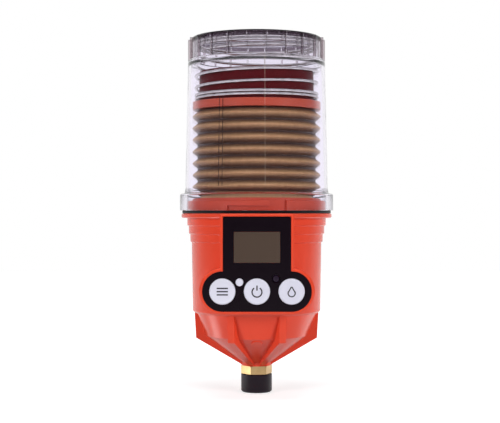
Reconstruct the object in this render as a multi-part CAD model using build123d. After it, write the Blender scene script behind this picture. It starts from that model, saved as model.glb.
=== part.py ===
from build123d import *
import math
import os

# Single-point automatic lubricator: a battery driven piston pump in a moulded housing, with a
# spring loaded bellows of grease under a clear cover. Millimetres, +Z up, front of the keypad
# towards -Y. The origin is the thread's shoulder, on the axis.

# ---- main housing, from the outlet up
HOUSING_BOTTOM = 5.2       # height of the flat that the brass hexagon bears on
TIP_RADIUS = 10.3          # small end of the cone
TIP_CHAMFER = 1.1
CONE_TOP = 22.4            # height of the cone's wide corner
CONE_RADIUS = 37.9
LOWER_TOP = 38.5           # the ribbed lower part ends here, under a small step
LOWER_RADIUS = 38.8
BODY_START = 39.7
BODY_RADIUS = 40.0
BODY_TOP_RADIUS = 40.6
STEP_RINGS = 3             # stepped rings between the body and the flange
STEP_OUT = 0.85
STEP_HEIGHT = 4.5
STEP_CHAMFER = 0.6
STEP_DRAFT = 0.1
FLANGE_TOP = 100.2
FLANGE_THICKNESS = 2.8
FLANGE_RADIUS = 47.0
FLANGE_EDGE = 0.6
HOUSING_WALL = 2.5

# ribs and recessed faces of the lower housing
RIB_ANGLES = (24.0, 90.0, 156.0)   # from the front, both ways
RIB_WIDTH = 4.4
RECESS_TOP_DEPTH = 1.2
RECESS_CORNER_RADIUS = 32.0
RECESS_CORNER_Z = 24.2
RECESS_TIP_DEPTH = 1.2
GATE_RADIUS = 3.4          # round gate mark on the front facet, level with the cone's corner
GATE_HEIGHT = 0.4
GATE_PLACE = 0.82          # how far up the facet, from the tip to the corner

# keypad boss, panel and what shows through it
PANEL_FACE = 48.0          # from the axis to the boss's front face
PANEL_WIDTH = 40.1
PANEL_DROP = 1.8           # from the flange's top to the panel's top edge
PILL_WIDTH = 64.5
PILL_HEIGHT = 23.7
PILL_Z = 54.25
PANEL_CORNER = 1.0
PANEL_THICKNESS = 1.2
PANEL_PROUD = 0.2
PANEL_GAP = 0.1            # round the panel in its recess
BOSS_MARGIN = 1.9
BOSS_EDGE = 0.8
BOSS_WALL = 2.0
KEY_PITCH = 20.4
KEY_RADIUS = 7.7
KEY_PROUD = 0.6            # beyond the panel's face
KEY_EDGE = 0.3
KEY_TRAVEL = 0.8
KEY_GAP = 0.15
KEY_FLANGE = 0.7
RESET_FLANGE = 0.5
KEY_FLANGE_THICKNESS = 1.0
KEY_STEM_RADIUS = 1.6
RESET_X = -10.3
RESET_Z = 59.7
RESET_RADIUS = 2.25
LED_X = 11.2
LED_Z = 61.8
LED_RADIUS = 2.3
LED_EDGE = 0.7
LED_LEAD = 0.6             # hole in the board; the lead is thinner by its clearance
LED_LEAD_GAP = 0.1
LED_LEAD_PITCH = 2.54
WINDOW_WIDTH = 27.3
WINDOW_HEIGHT = 18.2
WINDOW_Z = 80.3
WINDOW_LEDGE = 1.4         # housing left behind the window's edge
LCD_MARGIN = 1.6
LCD_THICKNESS = 2.6
LCD_FRAME_WALL = 1.4
BOARD_FACE = 40.4          # from the axis to the board's front
BOARD_THICKNESS = 1.6
BOARD_GAP = 0.9
BOARD_POST_RADIUS = 1.9
BOARD_POST_X = (17.2, 10.2)
BOARD_POST_TOP = 4.8       # upper posts' centres below the deck
BOARD_POST_Z = 46.4
DOME_RADIUS = 3.0
SMALL_DOME_RADIUS = 2.0
DOME_HEIGHT = 0.25

# screws, all pan headed
SMALL_SCREW_RADIUS = 1.1
SMALL_SCREW_HEAD = 2.0
SMALL_SCREW_HEAD_HEIGHT = 1.4
BIG_SCREW_RADIUS = 1.5
BIG_SCREW_HEAD = 2.8
BIG_SCREW_HEAD_HEIGHT = 1.9
SCREW_GAP = 0.1
SLOT_WIDTH = 0.7
SCREW_SLOT_DEPTH = 0.8
HEAD_EDGE = 0.35           # of a screw head's height

# deck that closes the housing, with the bayonet neck
DECK_THICKNESS = 3.0
DECK_RADIUS = 41.0
DECK_GAP = 0.15
NECK_RADIUS = 43.3
NECK_INSIDE = 39.2
NECK_HEIGHT = 8.0          # above the flange
NECK_EDGE = 0.5
LUGS = 3
SLOT_RISE = 2.3            # from the flange to the bayonet slots
SLOT_HEIGHT = 2.5
SLOT_DEPTH = 1.7
LUG_ARC = 13.0
LUG_GAP = 0.2
LUG_END_GAP = 0.5          # degrees left at each end of a slot
COVER_TURN = 33.0          # degrees from locked to the way out of the bayonet
SOCKET_RADIUS = 10.0
SOCKET_DEPTH = 5.2         # below the deck
DECK_SCREW_ANGLES = (45.0, 115.0)   # from the front, both ways
DECK_SCREW_CIRCLE = 34.4
DECK_POST_RADIUS = 3.4
DECK_POST_LENGTH = 14.0

# gasket and clear cover
SEAL_HEIGHT = 1.8
SEAL_INSIDE = 43.6
SEAL_OUTSIDE = 46.5
COVER_FLANGE_RADIUS = 48.0
COVER_FLANGE_RISE = 12.2   # heights above the housing's flange
COVER_BASE_RADIUS = 44.6
COVER_WALL = 1.9
COVER_EDGE = 0.6
TUBE_RISE = 95.7
TUBE_TOP_RADIUS = 42.9
CROWN_RADIUS = 41.0
COVER_RISE = 109.9
CROWN_EDGE = 0.9
CROWN_RIBS = 22
CROWN_RIB_WIDTH = 0.8
NECK_GAP = 0.6             # cover's skirt round the neck

# pouch, pusher and spring
COLLAR_RADIUS = 40.2
COLLAR_LIP = 1.7
COLLAR_WALL = 2.0
COLLAR_GAP = 0.4
COLLAR_WEB = 2.0
NOZZLE_RADIUS = 7.0
NOZZLE_BORE = 4.0
NOZZLE_GAP = 0.06
O_RING = 1.1               # section of the nozzle's ring
GROOVE_HALF = 0.77         # half the height of its groove
GALLERY_FLOOR = 1.0        # of the grease gallery under the deck
FOLDS = 7
FOLD_PITCH = 7.25
FOLD_TIP = 40.2
FOLD_ROOT = 36.9
FOLD_TIP_FLAT = 1.2
FOLD_ROOT_FLAT = 1.6
FOLD_START = 3.3           # first root above the collar
POUCH_HEIGHT = 54.6
PUSHER_FLANGE = 40.1
PUSHER_FLANGE_HEIGHT = 5.0
PUSHER_CUP = 36.0
PUSHER_HEIGHT = 24.0
PUSHER_WALL = 2.0
PUSHER_EDGE = 0.5
SPRING_RADIUS = 38.0
SPRING_WIRE = 1.9
SPRING_CLOSED_PITCH = 2.05
SPRING_CLOSED_TURNS = 2
SPRING_OPEN_TURNS = 4

# outlet fitting and its cap
HEX_ACROSS_FLATS = 17.0
HEX_TURN = 8.0
HEX_CHAMFER_RADIUS = 9.3
HEX_CHAMFER_SLOPE = 0.7    # rise of the corner chamfer for each millimetre inwards
THREAD_RADIUS = 6.58       # tapered quarter-inch pipe thread, at its shoulder
THREAD_LENGTH = 9.9
THREAD_CHAMFER = 0.8
SHANK_RADIUS = 6.5
SHANK_GAP = 0.05
OUTLET_BORE = 2.0
PLUG_BORE = 3.05
PLUG_BORE_DEPTH = 5.0
CHECK_POCKET = 3.4
CHECK_POCKET_DEPTH = 9.0
CAP_RADIUS = 9.85
CAP_LENGTH = 11.6
CAP_WALL = 1.5
CAP_EDGE = 0.8
CAP_PLUG_LENGTH = 4.2
CAP_PLUG_GAP = 0.05
CAP_PLUG_EDGE = 0.4

# coils are wound as straight-sided lengths of a many-sided wire
COIL_STEPS = 24
COIL_SIDES = 6

# pump, on the axis above the outlet
BLOCK_RADIUS = 12.5
BLOCK_BOTTOM = 14.0
BLOCK_TOP = 40.0
SHANK_TOP = 20.0
SEAT_TOP = 24.5            # bottom of the pumping bore
SEAT_BORE = 1.6
PLUNGER_RADIUS = 3.0
PLUNGER_GAP = 0.03
PLUNGER_BOTTOM = 29.0
STROKE = 4.0
TAPPET_RADIUS = 6.0
TAPPET_THICKNESS = 2.4
TAPPET_TIP_RADIUS = 2.5
CHECK_BALL_RADIUS = 2.4
CHECK_BALL_GAP = 0.03      # ball to seat, and ball to spring
SEAT_RISE = 1.44           # valve seat above the shank's end
CHECK_WIRE = 0.5
CHECK_COIL_RADIUS = 1.9
CHECK_TURNS = 3
RETURN_WIRE = 0.8
RETURN_COIL_RADIUS = 4.6
RETURN_TURNS = 3
FEED_Y = -17.0             # grease tube in front of the pump
FEED_RADIUS = 3.0
FEED_BORE = 2.0
FEED_GAP = 0.05
FEED_BOTTOM = 35.0
INLET_Z = 31.0
INLET_BORE = 1.5
INLET_HALF_WIDTH = 5.0
INLET_WALL = 1.5
INLET_LIP = 3.0            # inlet boss above the tube's end

# drive: gearmotor, gear pair, camshaft and snail cam
CAMSHAFT_Z = 60.0
CAMSHAFT_RADIUS = 3.0
SHAFT_GAP = 0.03
SHAFT_END = 1.0            # beyond its bearing or gear
SHAFT_EDGE = 0.4
CAM_START_RADIUS = 9.0
CAM_RISE_ANGLE = 300.0
CAM_STEPS = 20
CAM_DROP = 42.0            # degrees over which it falls back
CAM_WIDTH = 6.0
CAM_GAP = 0.08
MODULE = 0.75
PINION_TEETH = 14
GEAR_TEETH = 44
PRESSURE_ANGLE = 25.0
ADDENDUM = 0.85            # in modules
DEDENDUM = 1.15
BACKLASH = 0.14
GEAR_WIDTH = 5.0
GEAR_HUB_RADIUS = 5.5
GEAR_WEB = 2.0
GEAR_RIM = 1.6             # under the teeth
MOTOR_RADIUS = 8.0
MOTOR_LENGTH = 36.0
MOTOR_SHAFT_RADIUS = 1.5
MOTOR_NOSE_RADIUS = 3.5
MOTOR_NOSE_LENGTH = 1.6
MOTOR_EDGE = 0.8
MOTOR_SHAFT_DEPTH = 4.0    # of the shaft inside the gearbox
MOTOR_TAP_DEPTH = 4.0
MOTOR_TAB = (0.8, 2.4, 2.5)  # solder tab: thickness, width, length
MOTOR_TAB_Y = 6.0
MOTOR_SCREW_GRIP = 3.0
MOTOR_SCREW_PITCH = 5.6      # each way from the shaft

# chassis that carries the drive and the battery
CHASSIS_BOTTOM = 41.0
CHASSIS_THICKNESS = 3.0
CHASSIS_GAP = 0.2
PLATE_THICKNESS = 2.5
CAM_SIDE = 6.6             # from the axis to each bearing plate
PLATE_HALF_WIDTH = 10.0
FAR_PLATE_RISE = 6.0       # far plate above the camshaft
NOSE_GAP = 0.1
GEAR_SIDE_GAP = 2.0
WELL_GAP = 1.0             # round the gear in the chassis floor
CHASSIS_SCREWS = 3
CHASSIS_SCREW_CIRCLE = 32.6
CHASSIS_POST_RADIUS = 3.2
CHASSIS_POST_LENGTH = 11.0
CELL_RADIUS = 7.3
CELLS = 3
CELL_HEADROOM = 1.6
BATTERY_Y = 25.5
PACK_SLEEVE = 0.2
TERMINAL_HEIGHT = 1.6
CRADLE_WALL = 1.5
CRADLE_HEIGHT = 12.0
CRADLE_GAP = 0.2
CRADLE_WIDTH = 5.0
CELL_CAP = 0.38            # cell's cap as a share of its radius


# ---------------------------------------------------------------- derived places
flange_bottom = FLANGE_TOP - FLANGE_THICKNESS
body_top = flange_bottom - STEP_RINGS * (STEP_HEIGHT + STEP_CHAMFER)
panel_top = FLANGE_TOP - PANEL_DROP
deck_bottom = FLANGE_TOP - DECK_THICKNESS
socket_bottom = deck_bottom - SOCKET_DEPTH
nozzle_end = socket_bottom + 2 * FEED_BORE + GALLERY_FLOOR / 2
neck_top = FLANGE_TOP + NECK_HEIGHT
slot_bottom = FLANGE_TOP + SLOT_RISE
cover_flange_top = FLANGE_TOP + COVER_FLANGE_RISE
tube_top = FLANGE_TOP + TUBE_RISE
cover_top = FLANGE_TOP + COVER_RISE
seal_top = FLANGE_TOP + SEAL_HEIGHT
collar_top = neck_top + COLLAR_LIP
pouch_top = collar_top + POUCH_HEIGHT
cover_inside_top = cover_top - COVER_WALL
panel_back = PANEL_FACE + PANEL_PROUD - PANEL_THICKNESS
wall_back = panel_back - BOSS_WALL
board_back = BOARD_FACE - BOARD_THICKNESS
key_flange_front = wall_back - PANEL_GAP
key_stem_end = BOARD_FACE + DOME_HEIGHT + KEY_TRAVEL + PANEL_GAP
chassis_top = CHASSIS_BOTTOM + CHASSIS_THICKNESS
cell_height = deck_bottom - CELL_HEADROOM - TERMINAL_HEIGHT - chassis_top
plate_outside = CAM_SIDE + PLATE_THICKNESS
gear_start = plate_outside + GEAR_SIDE_GAP
shaft_distance = MODULE * (PINION_TEETH + GEAR_TEETH) / 2
motor_z = CAMSHAFT_Z + shaft_distance
gear_tip_radius = MODULE * (GEAR_TEETH / 2 + ADDENDUM)
slot_arc = LUG_ARC + COVER_TURN + 2 * LUG_END_GAP
tappet_tip = CAMSHAFT_Z - CAM_START_RADIUS - CAM_GAP
hex_corner = HEX_ACROSS_FLATS / 2 / math.cos(math.radians(30))


# ---------------------------------------------------------------- helpers
def revolved(points):
    """A solid of revolution about Z from (radius, height) points."""
    wire = Polyline(*[(r, 0, z) for r, z in points], close=True)
    return revolve(make_face(wire), Axis.Z)


def cylinder_z(radius, bottom, top, x=0.0, y=0.0):
    base = Plane.XY * Pos(x, y, bottom)
    return extrude(base * Circle(radius), top - bottom)


def cylinder_y(radius, near, far, x=0.0, z=0.0):
    """A cylinder along Y from y = near to y = far."""
    plane = Plane(origin=(x, near, z), x_dir=(1, 0, 0), z_dir=(0, 1, 0))
    return extrude(plane * Circle(radius), far - near)


def cylinder_x(radius, start, end, y=0.0, z=0.0):
    plane = Plane(origin=(start, y, z), x_dir=(0, 1, 0), z_dir=(1, 0, 0))
    return extrude(plane * Circle(radius), end - start)


def block(x0, x1, y0, y1, z0, z1):
    size = (x1 - x0, y1 - y0, z1 - z0)
    return Pos((x0 + x1) / 2, (y0 + y1) / 2, (z0 + z1) / 2) * Box(*size)


def front_prism(outline, near, far):
    """The outline, drawn in X and Z, extruded from y = -far to y = -near."""
    plane = Plane(origin=(0, -near, 0), x_dir=(1, 0, 0), z_dir=(0, -1, 0))
    return extrude(plane * outline, far - near)


def azimuth(angle):
    """Turn about Z that brings the front, -Y, round by angle, anticlockwise from above."""
    return Rot(0, 0, angle)


def both_ways(angles):
    """Each angle to the left and to the right of the front."""
    return [side * angle for angle in angles for side in (-1, 1)]


def coil(radius, wire, stages, bottom):
    """A wire wound about Z; stages lists (turns, pitch) from the bottom up."""
    sections = []
    height = bottom
    start = 0.0
    for turns, pitch in stages:
        steps = round(turns * COIL_STEPS)
        for step in range(0 if not sections else 1, steps + 1):
            angle = 360 * step / COIL_STEPS
            centre = Plane(origin=(radius, 0, height + pitch * step / COIL_STEPS),
                           x_dir=(1, 0, 0), z_dir=(0, 1, 0))
            sections.append(Rot(0, 0, start + angle) * (centre * RegularPolygon(wire / 2, COIL_SIDES)))
        height += turns * pitch
        start += 360 * turns
    return loft(sections, ruled=True)


def pan_screw(shank_radius, head_radius, head_height, length):
    """A pan-headed screw pointing down, its head's underside at the origin."""
    body = cylinder_z(shank_radius, -length, 0)
    head = cylinder_z(head_radius, 0, head_height)
    head = chamfer(head.edges().group_by(Axis.Z)[-1], head_height * HEAD_EDGE)
    slot = Box(2 * head_radius, SLOT_WIDTH, 2 * SCREW_SLOT_DEPTH)
    return body + head - Pos(0, 0, head_height) * slot


def gear_outline(teeth, turn):
    """A spur gear's outline with involute flanks, one tooth centred on the angle turn."""
    pitch_radius = MODULE * teeth / 2
    base_radius = pitch_radius * math.cos(math.radians(PRESSURE_ANGLE))
    tip_radius = pitch_radius + ADDENDUM * MODULE
    root_radius = pitch_radius - DEDENDUM * MODULE
    inv_pitch = math.tan(math.radians(PRESSURE_ANGLE)) - math.radians(PRESSURE_ANGLE)
    half_pitch = math.pi / 2 / teeth - BACKLASH / 2 / (2 * pitch_radius)

    def half_angle(radius):
        inside = min(1.0, base_radius / max(radius, base_radius))
        pressure = math.acos(inside)
        return half_pitch + inv_pitch - (math.tan(pressure) - pressure)

    flank_start = base_radius if base_radius > root_radius else (root_radius + pitch_radius) / 2
    flank = [root_radius, flank_start, pitch_radius, tip_radius]
    points = []
    for tooth in range(teeth):
        centre = math.radians(turn) + 2 * math.pi * tooth / teeth
        for radius in flank:
            points.append((radius, centre - half_angle(radius)))
        for radius in reversed(flank):
            points.append((radius, centre + half_angle(radius)))
    corners = [(r * math.cos(a), r * math.sin(a)) for r, a in points]
    return make_face(Polyline(*corners, close=True))


def panel_outline(grow, top):
    """The panel's shape: an upright rectangle standing on a wide pill, grown by a margin."""
    pill = SlotOverall(PILL_WIDTH + 2 * grow, PILL_HEIGHT + 2 * grow)
    height = top - PILL_Z
    upright = Pos(0, height / 2) * Rectangle(PANEL_WIDTH + 2 * grow, height)
    return Pos(0, PILL_Z) * (pill + upright)


def key_places():
    return [(-KEY_PITCH, PILL_Z), (0.0, PILL_Z), (KEY_PITCH, PILL_Z)]


# ---------------------------------------------------------------- housing
def housing_outside():
    """Outer form above and including the ribs' full height."""
    points = [(0, HOUSING_BOTTOM), (TIP_RADIUS - TIP_CHAMFER, HOUSING_BOTTOM)]
    points += [(TIP_RADIUS, HOUSING_BOTTOM + TIP_CHAMFER), (CONE_RADIUS, CONE_TOP)]
    points += [(LOWER_RADIUS, LOWER_TOP), (BODY_RADIUS, BODY_START), (BODY_TOP_RADIUS, body_top)]
    radius = BODY_TOP_RADIUS
    height = body_top
    for _ in range(STEP_RINGS):
        points.append((radius + STEP_OUT, height + STEP_CHAMFER))
        radius += STEP_OUT + STEP_DRAFT
        height += STEP_CHAMFER + STEP_HEIGHT
        points.append((radius, height))
    points += [(FLANGE_RADIUS - FLANGE_EDGE, flange_bottom)]
    points += [(FLANGE_RADIUS, flange_bottom + FLANGE_EDGE)]
    points += [(FLANGE_RADIUS, FLANGE_TOP - FLANGE_EDGE)]
    points += [(FLANGE_RADIUS - FLANGE_EDGE, FLANGE_TOP), (0, FLANGE_TOP)]
    return revolved(points)


def lower_core():
    """The recessed form between the ribs, from the outlet up to the small step."""
    points = [(0, HOUSING_BOTTOM), (TIP_RADIUS - TIP_CHAMFER, HOUSING_BOTTOM)]
    points += [(TIP_RADIUS - RECESS_TIP_DEPTH / 2, HOUSING_BOTTOM + 2 * TIP_CHAMFER)]
    points += [(RECESS_CORNER_RADIUS, RECESS_CORNER_Z)]
    points += [(LOWER_RADIUS - RECESS_TOP_DEPTH, LOWER_TOP), (0, LOWER_TOP)]
    return revolved(points)


def housing_ribs(outside):
    """Upright ribs that run on down the cone to the outlet."""
    slabs = []
    for angle in both_ways(RIB_ANGLES):
        slab = block(-RIB_WIDTH / 2, RIB_WIDTH / 2, -BODY_RADIUS, 0, HOUSING_BOTTOM, LOWER_TOP)
        slabs.append(azimuth(angle) * slab)
    below = outside & cylinder_z(BODY_RADIUS, HOUSING_BOTTOM, LOWER_TOP)
    ribs = Part()
    for slab in slabs:
        ribs = ribs + (below & slab)
    return ribs


def housing_cavity():
    """Inside of the shell: pump seat, cone, ledge for the chassis and the straight body."""
    radius = BODY_RADIUS - HOUSING_WALL
    slope = (RECESS_CORNER_RADIUS - TIP_RADIUS) / (RECESS_CORNER_Z - HOUSING_BOTTOM)
    corner = RECESS_CORNER_RADIUS - HOUSING_WALL
    seat = BLOCK_RADIUS + DECK_GAP
    seat_z = RECESS_CORNER_Z + 1 - (corner - seat) / slope
    points = [(0, BLOCK_BOTTOM), (seat, BLOCK_BOTTOM), (seat, max(seat_z, BLOCK_BOTTOM + 0.5))]
    points += [(corner, RECESS_CORNER_Z + 1)]
    points += [(radius - HOUSING_WALL, LOWER_TOP), (radius - HOUSING_WALL, CHASSIS_BOTTOM)]
    points += [(radius, CHASSIS_BOTTOM), (radius, deck_bottom), (0, deck_bottom)]
    return revolved(points)


def deck_posts():
    """Posts up the inside of the wall that take the deck's screws."""
    posts = Part()
    for angle in deck_screw_angles():
        post = cylinder_z(DECK_POST_RADIUS, deck_bottom - DECK_POST_LENGTH, deck_bottom,
                          0, -DECK_SCREW_CIRCLE)
        web = block(-DECK_POST_RADIUS / 2, DECK_POST_RADIUS / 2, -BODY_RADIUS + HOUSING_WALL / 2,
                    -DECK_SCREW_CIRCLE, deck_bottom - DECK_POST_LENGTH, deck_bottom)
        posts = posts + azimuth(angle) * (post + web)
    return posts


def deck_screw_angles():
    return both_ways(DECK_SCREW_ANGLES)


def chassis_posts():
    """Posts beside the ledge that the chassis is screwed down on."""
    posts = Part()
    for angle in chassis_screw_angles():
        post = cylinder_z(CHASSIS_POST_RADIUS, CHASSIS_BOTTOM - CHASSIS_POST_LENGTH,
                          CHASSIS_BOTTOM, 0, -CHASSIS_SCREW_CIRCLE)
        posts = posts + azimuth(angle) * post
    return posts


def chassis_screw_angles():
    return [360 / CHASSIS_SCREWS * i for i in range(CHASSIS_SCREWS)]


def board_posts():
    """Posts behind the keypad's wall that the circuit board is screwed to."""
    posts = Part()
    for x, z in board_post_places():
        posts = posts + cylinder_y(BOARD_POST_RADIUS, -wall_back, -BOARD_FACE, x, z)
    return posts


def board_post_places():
    heights = (deck_bottom - BOARD_POST_TOP, BOARD_POST_Z)
    return [(side * x, z) for x, z in zip(BOARD_POST_X, heights) for side in (-1, 1)]


def keypad_boss():
    """The flat-faced boss, its edge rounded, that runs from the flange to below the keys."""
    boss = front_prism(panel_outline(BOSS_MARGIN, FLANGE_TOP), BODY_RADIUS / 2, PANEL_FACE)
    front = boss.faces().sort_by(Axis.Y)[0]
    return chamfer(front.edges(), BOSS_EDGE)


def keypad_openings():
    """Recess for the panel and the holes behind it for the window, the keys and the LED."""
    cut = front_prism(panel_outline(PANEL_GAP, panel_top + PANEL_GAP), panel_back, PANEL_FACE + 1)
    glass = Pos(0, WINDOW_Z) * Rectangle(WINDOW_WIDTH - 2 * WINDOW_LEDGE,
                                         WINDOW_HEIGHT - 2 * WINDOW_LEDGE)
    cut += front_prism(glass, wall_back - 1, PANEL_FACE)
    for x, z in key_places():
        cut += cylinder_y(KEY_RADIUS + KEY_GAP, -PANEL_FACE, 1 - wall_back, x, z)
    cut += cylinder_y(RESET_RADIUS + KEY_GAP, -PANEL_FACE, 1 - wall_back, RESET_X, RESET_Z)
    cut += cylinder_y(LED_RADIUS + KEY_GAP, -PANEL_FACE, 1 - wall_back, LED_X, LED_Z)
    return cut


def gate_mark():
    """Low round mark on the front facet, its face parallel to the facet."""
    run = RECESS_CORNER_RADIUS - TIP_RADIUS + RECESS_TIP_DEPTH / 2
    rise = RECESS_CORNER_Z - HOUSING_BOTTOM - 2 * TIP_CHAMFER
    slant = math.hypot(run, rise)
    out = TIP_RADIUS - RECESS_TIP_DEPTH / 2 + GATE_PLACE * run
    height = HOUSING_BOTTOM + 2 * TIP_CHAMFER + GATE_PLACE * rise
    face = Plane(origin=(0, -out, height), x_dir=(1, 0, 0), z_dir=(0, -rise / slant, -run / slant))
    return extrude(face * Circle(GATE_RADIUS), GATE_HEIGHT) + extrude(face * Circle(GATE_RADIUS), -1)


def make_main_housing():
    outside = housing_outside()
    upper = outside & cylinder_z(FLANGE_RADIUS + 1, LOWER_TOP, FLANGE_TOP)
    shell = upper + lower_core() + housing_ribs(outside) + keypad_boss()
    shell = shell + gate_mark()
    shell = shell - housing_cavity()
    inner_outline = panel_outline(BOSS_MARGIN - BOSS_WALL, deck_bottom - BOSS_WALL)
    shell = shell - front_prism(inner_outline, BODY_RADIUS / 2 - 2, wall_back)
    shell = shell - cylinder_z(DECK_RADIUS + DECK_GAP, deck_bottom, FLANGE_TOP + 1)
    shell = shell + board_posts() + deck_posts() + chassis_posts()
    shell = shell - keypad_openings()
    shell = shell - cylinder_z(SHANK_RADIUS + SHANK_GAP, HOUSING_BOTTOM - 1, BLOCK_BOTTOM + 1)
    for x, z in board_post_places():
        shell = shell - cylinder_y(SMALL_SCREW_RADIUS, -wall_back, -BOARD_FACE + 1, x, z)
    for angle in deck_screw_angles():
        hole = cylinder_z(BIG_SCREW_RADIUS, deck_bottom - DECK_POST_LENGTH / 2 - 2,
                          deck_bottom + 1, 0, -DECK_SCREW_CIRCLE)
        shell = shell - azimuth(angle) * hole
    for angle in chassis_screw_angles():
        hole = cylinder_z(BIG_SCREW_RADIUS, CHASSIS_BOTTOM - CHASSIS_POST_LENGTH / 2 - 2,
                          CHASSIS_BOTTOM + 1, 0, -CHASSIS_SCREW_CIRCLE)
        shell = shell - azimuth(angle) * hole
    return shell


# ---------------------------------------------------------------- deck, gasket and cover
def ring_sector(inside, outside, bottom, top, start, arc):
    """Part of a ring, arc degrees wide, anticlockwise from the azimuth start."""
    ring = Plane.XZ * Pos((inside + outside) / 2, (bottom + top) / 2)
    ring = ring * Rectangle(outside - inside, top - bottom)
    return azimuth(start - 90) * revolve(ring, Axis.Z, revolution_arc=arc)


def bayonet_slots():
    """L-shaped ways in the neck: a slot to turn along and a way up and out at its far end."""
    slots = Part()
    inside = NECK_RADIUS - SLOT_DEPTH
    entry = LUG_ARC + 2 * LUG_END_GAP
    for lug in range(LUGS):
        start = 360 / LUGS * lug - slot_arc / 2
        slots += ring_sector(inside, NECK_RADIUS + 1, slot_bottom, slot_bottom + SLOT_HEIGHT,
                             start, slot_arc)
        slots += ring_sector(inside, NECK_RADIUS + 1, slot_bottom, neck_top + 1,
                             start + slot_arc - entry, entry)
    return slots


def make_deck():
    points = [(0, socket_bottom), (SOCKET_RADIUS, socket_bottom), (SOCKET_RADIUS, deck_bottom)]
    points += [(DECK_RADIUS, deck_bottom), (DECK_RADIUS, FLANGE_TOP), (NECK_RADIUS, FLANGE_TOP)]
    points += [(NECK_RADIUS, neck_top - NECK_EDGE), (NECK_RADIUS - NECK_EDGE, neck_top)]
    points += [(NECK_INSIDE, neck_top), (NECK_INSIDE, FLANGE_TOP), (0, FLANGE_TOP)]
    deck = revolved(points)
    gallery_top = nozzle_end - GALLERY_FLOOR / 2
    gallery = block(-SOCKET_RADIUS / 2, SOCKET_RADIUS / 2, FEED_Y - SOCKET_RADIUS / 2, 0,
                    socket_bottom, deck_bottom)
    deck = deck + gallery - bayonet_slots()
    deck = deck - cylinder_z(NOZZLE_RADIUS + NOZZLE_GAP, gallery_top, FLANGE_TOP + 1)
    deck = deck - cylinder_y(INLET_BORE, FEED_Y, 0, 0, socket_bottom + FEED_BORE + GALLERY_FLOOR)
    deck = deck - cylinder_z(FEED_BORE, socket_bottom + GALLERY_FLOOR, gallery_top + 1)
    deck = deck - cylinder_z(FEED_RADIUS + FEED_GAP, socket_bottom - 1,
                             socket_bottom + FEED_BORE, 0, FEED_Y)
    for angle in deck_screw_angles():
        place = azimuth(angle) * Pos(0, -DECK_SCREW_CIRCLE, 0)
        deck = deck - place * cylinder_z(BIG_SCREW_RADIUS + SCREW_GAP, deck_bottom - 1,
                                         FLANGE_TOP + 1)
        deck = deck - place * cylinder_z(BIG_SCREW_HEAD + SCREW_GAP,
                                         FLANGE_TOP - BIG_SCREW_HEAD_HEIGHT, FLANGE_TOP + 1)
    return deck


def make_deck_screws():
    screws = []
    for angle in deck_screw_angles():
        seat = Pos(0, -DECK_SCREW_CIRCLE, FLANGE_TOP - BIG_SCREW_HEAD_HEIGHT)
        screw = pan_screw(BIG_SCREW_RADIUS, BIG_SCREW_HEAD, BIG_SCREW_HEAD_HEIGHT,
                          DECK_POST_LENGTH / 2)
        screws.append(azimuth(angle) * seat * screw)
    return Compound(screws)


def make_cover_seal():
    points = [(SEAL_INSIDE, FLANGE_TOP), (SEAL_OUTSIDE, FLANGE_TOP), (SEAL_OUTSIDE, seal_top)]
    points += [(SEAL_INSIDE, seal_top)]
    return revolved(points)


def make_clear_cover():
    shoulder = cover_flange_top + COVER_FLANGE_RADIUS - COVER_BASE_RADIUS
    skirt = NECK_RADIUS + NECK_GAP
    outer = [(skirt, seal_top), (COVER_FLANGE_RADIUS, seal_top)]
    outer += [(COVER_FLANGE_RADIUS, cover_flange_top - COVER_EDGE)]
    outer += [(COVER_FLANGE_RADIUS - COVER_EDGE, cover_flange_top)]
    outer += [(COVER_BASE_RADIUS + COVER_EDGE, cover_flange_top + COVER_EDGE)]
    outer += [(COVER_BASE_RADIUS, shoulder), (TUBE_TOP_RADIUS, tube_top - COVER_EDGE)]
    outer += [(TUBE_TOP_RADIUS - COVER_EDGE, tube_top)]
    outer += [(CROWN_RADIUS, tube_top), (CROWN_RADIUS, cover_top - CROWN_EDGE)]
    outer += [(CROWN_RADIUS - CROWN_EDGE, cover_top), (0, cover_top)]
    inner = [(0, cover_inside_top), (CROWN_RADIUS - COVER_WALL, cover_inside_top)]
    inner += [(CROWN_RADIUS - COVER_WALL, tube_top - COVER_WALL)]
    inner += [(TUBE_TOP_RADIUS - COVER_WALL, tube_top - 2 * COVER_WALL)]
    inner += [(COVER_BASE_RADIUS - COVER_WALL, shoulder)]
    inner += [(skirt, cover_flange_top - COVER_WALL / 2)]
    cover = revolved(outer + inner)
    for rib in range(CROWN_RIBS):
        bar = block(-CROWN_RIB_WIDTH / 2, CROWN_RIB_WIDTH / 2, -TUBE_TOP_RADIUS,
                    COVER_WALL / 2 - CROWN_RADIUS, tube_top, cover_top - CROWN_EDGE)
        cover = cover + azimuth(360 / CROWN_RIBS * (rib + 0.5)) * bar
    lug_inside = NECK_RADIUS - SLOT_DEPTH + LUG_GAP
    for lug in range(LUGS):
        start = 360 / LUGS * lug - slot_arc / 2 + LUG_END_GAP
        cover = cover + ring_sector(lug_inside, skirt + 1, slot_bottom + LUG_GAP,
                                    slot_bottom + SLOT_HEIGHT - LUG_GAP, start, LUG_ARC)
    return cover


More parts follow.
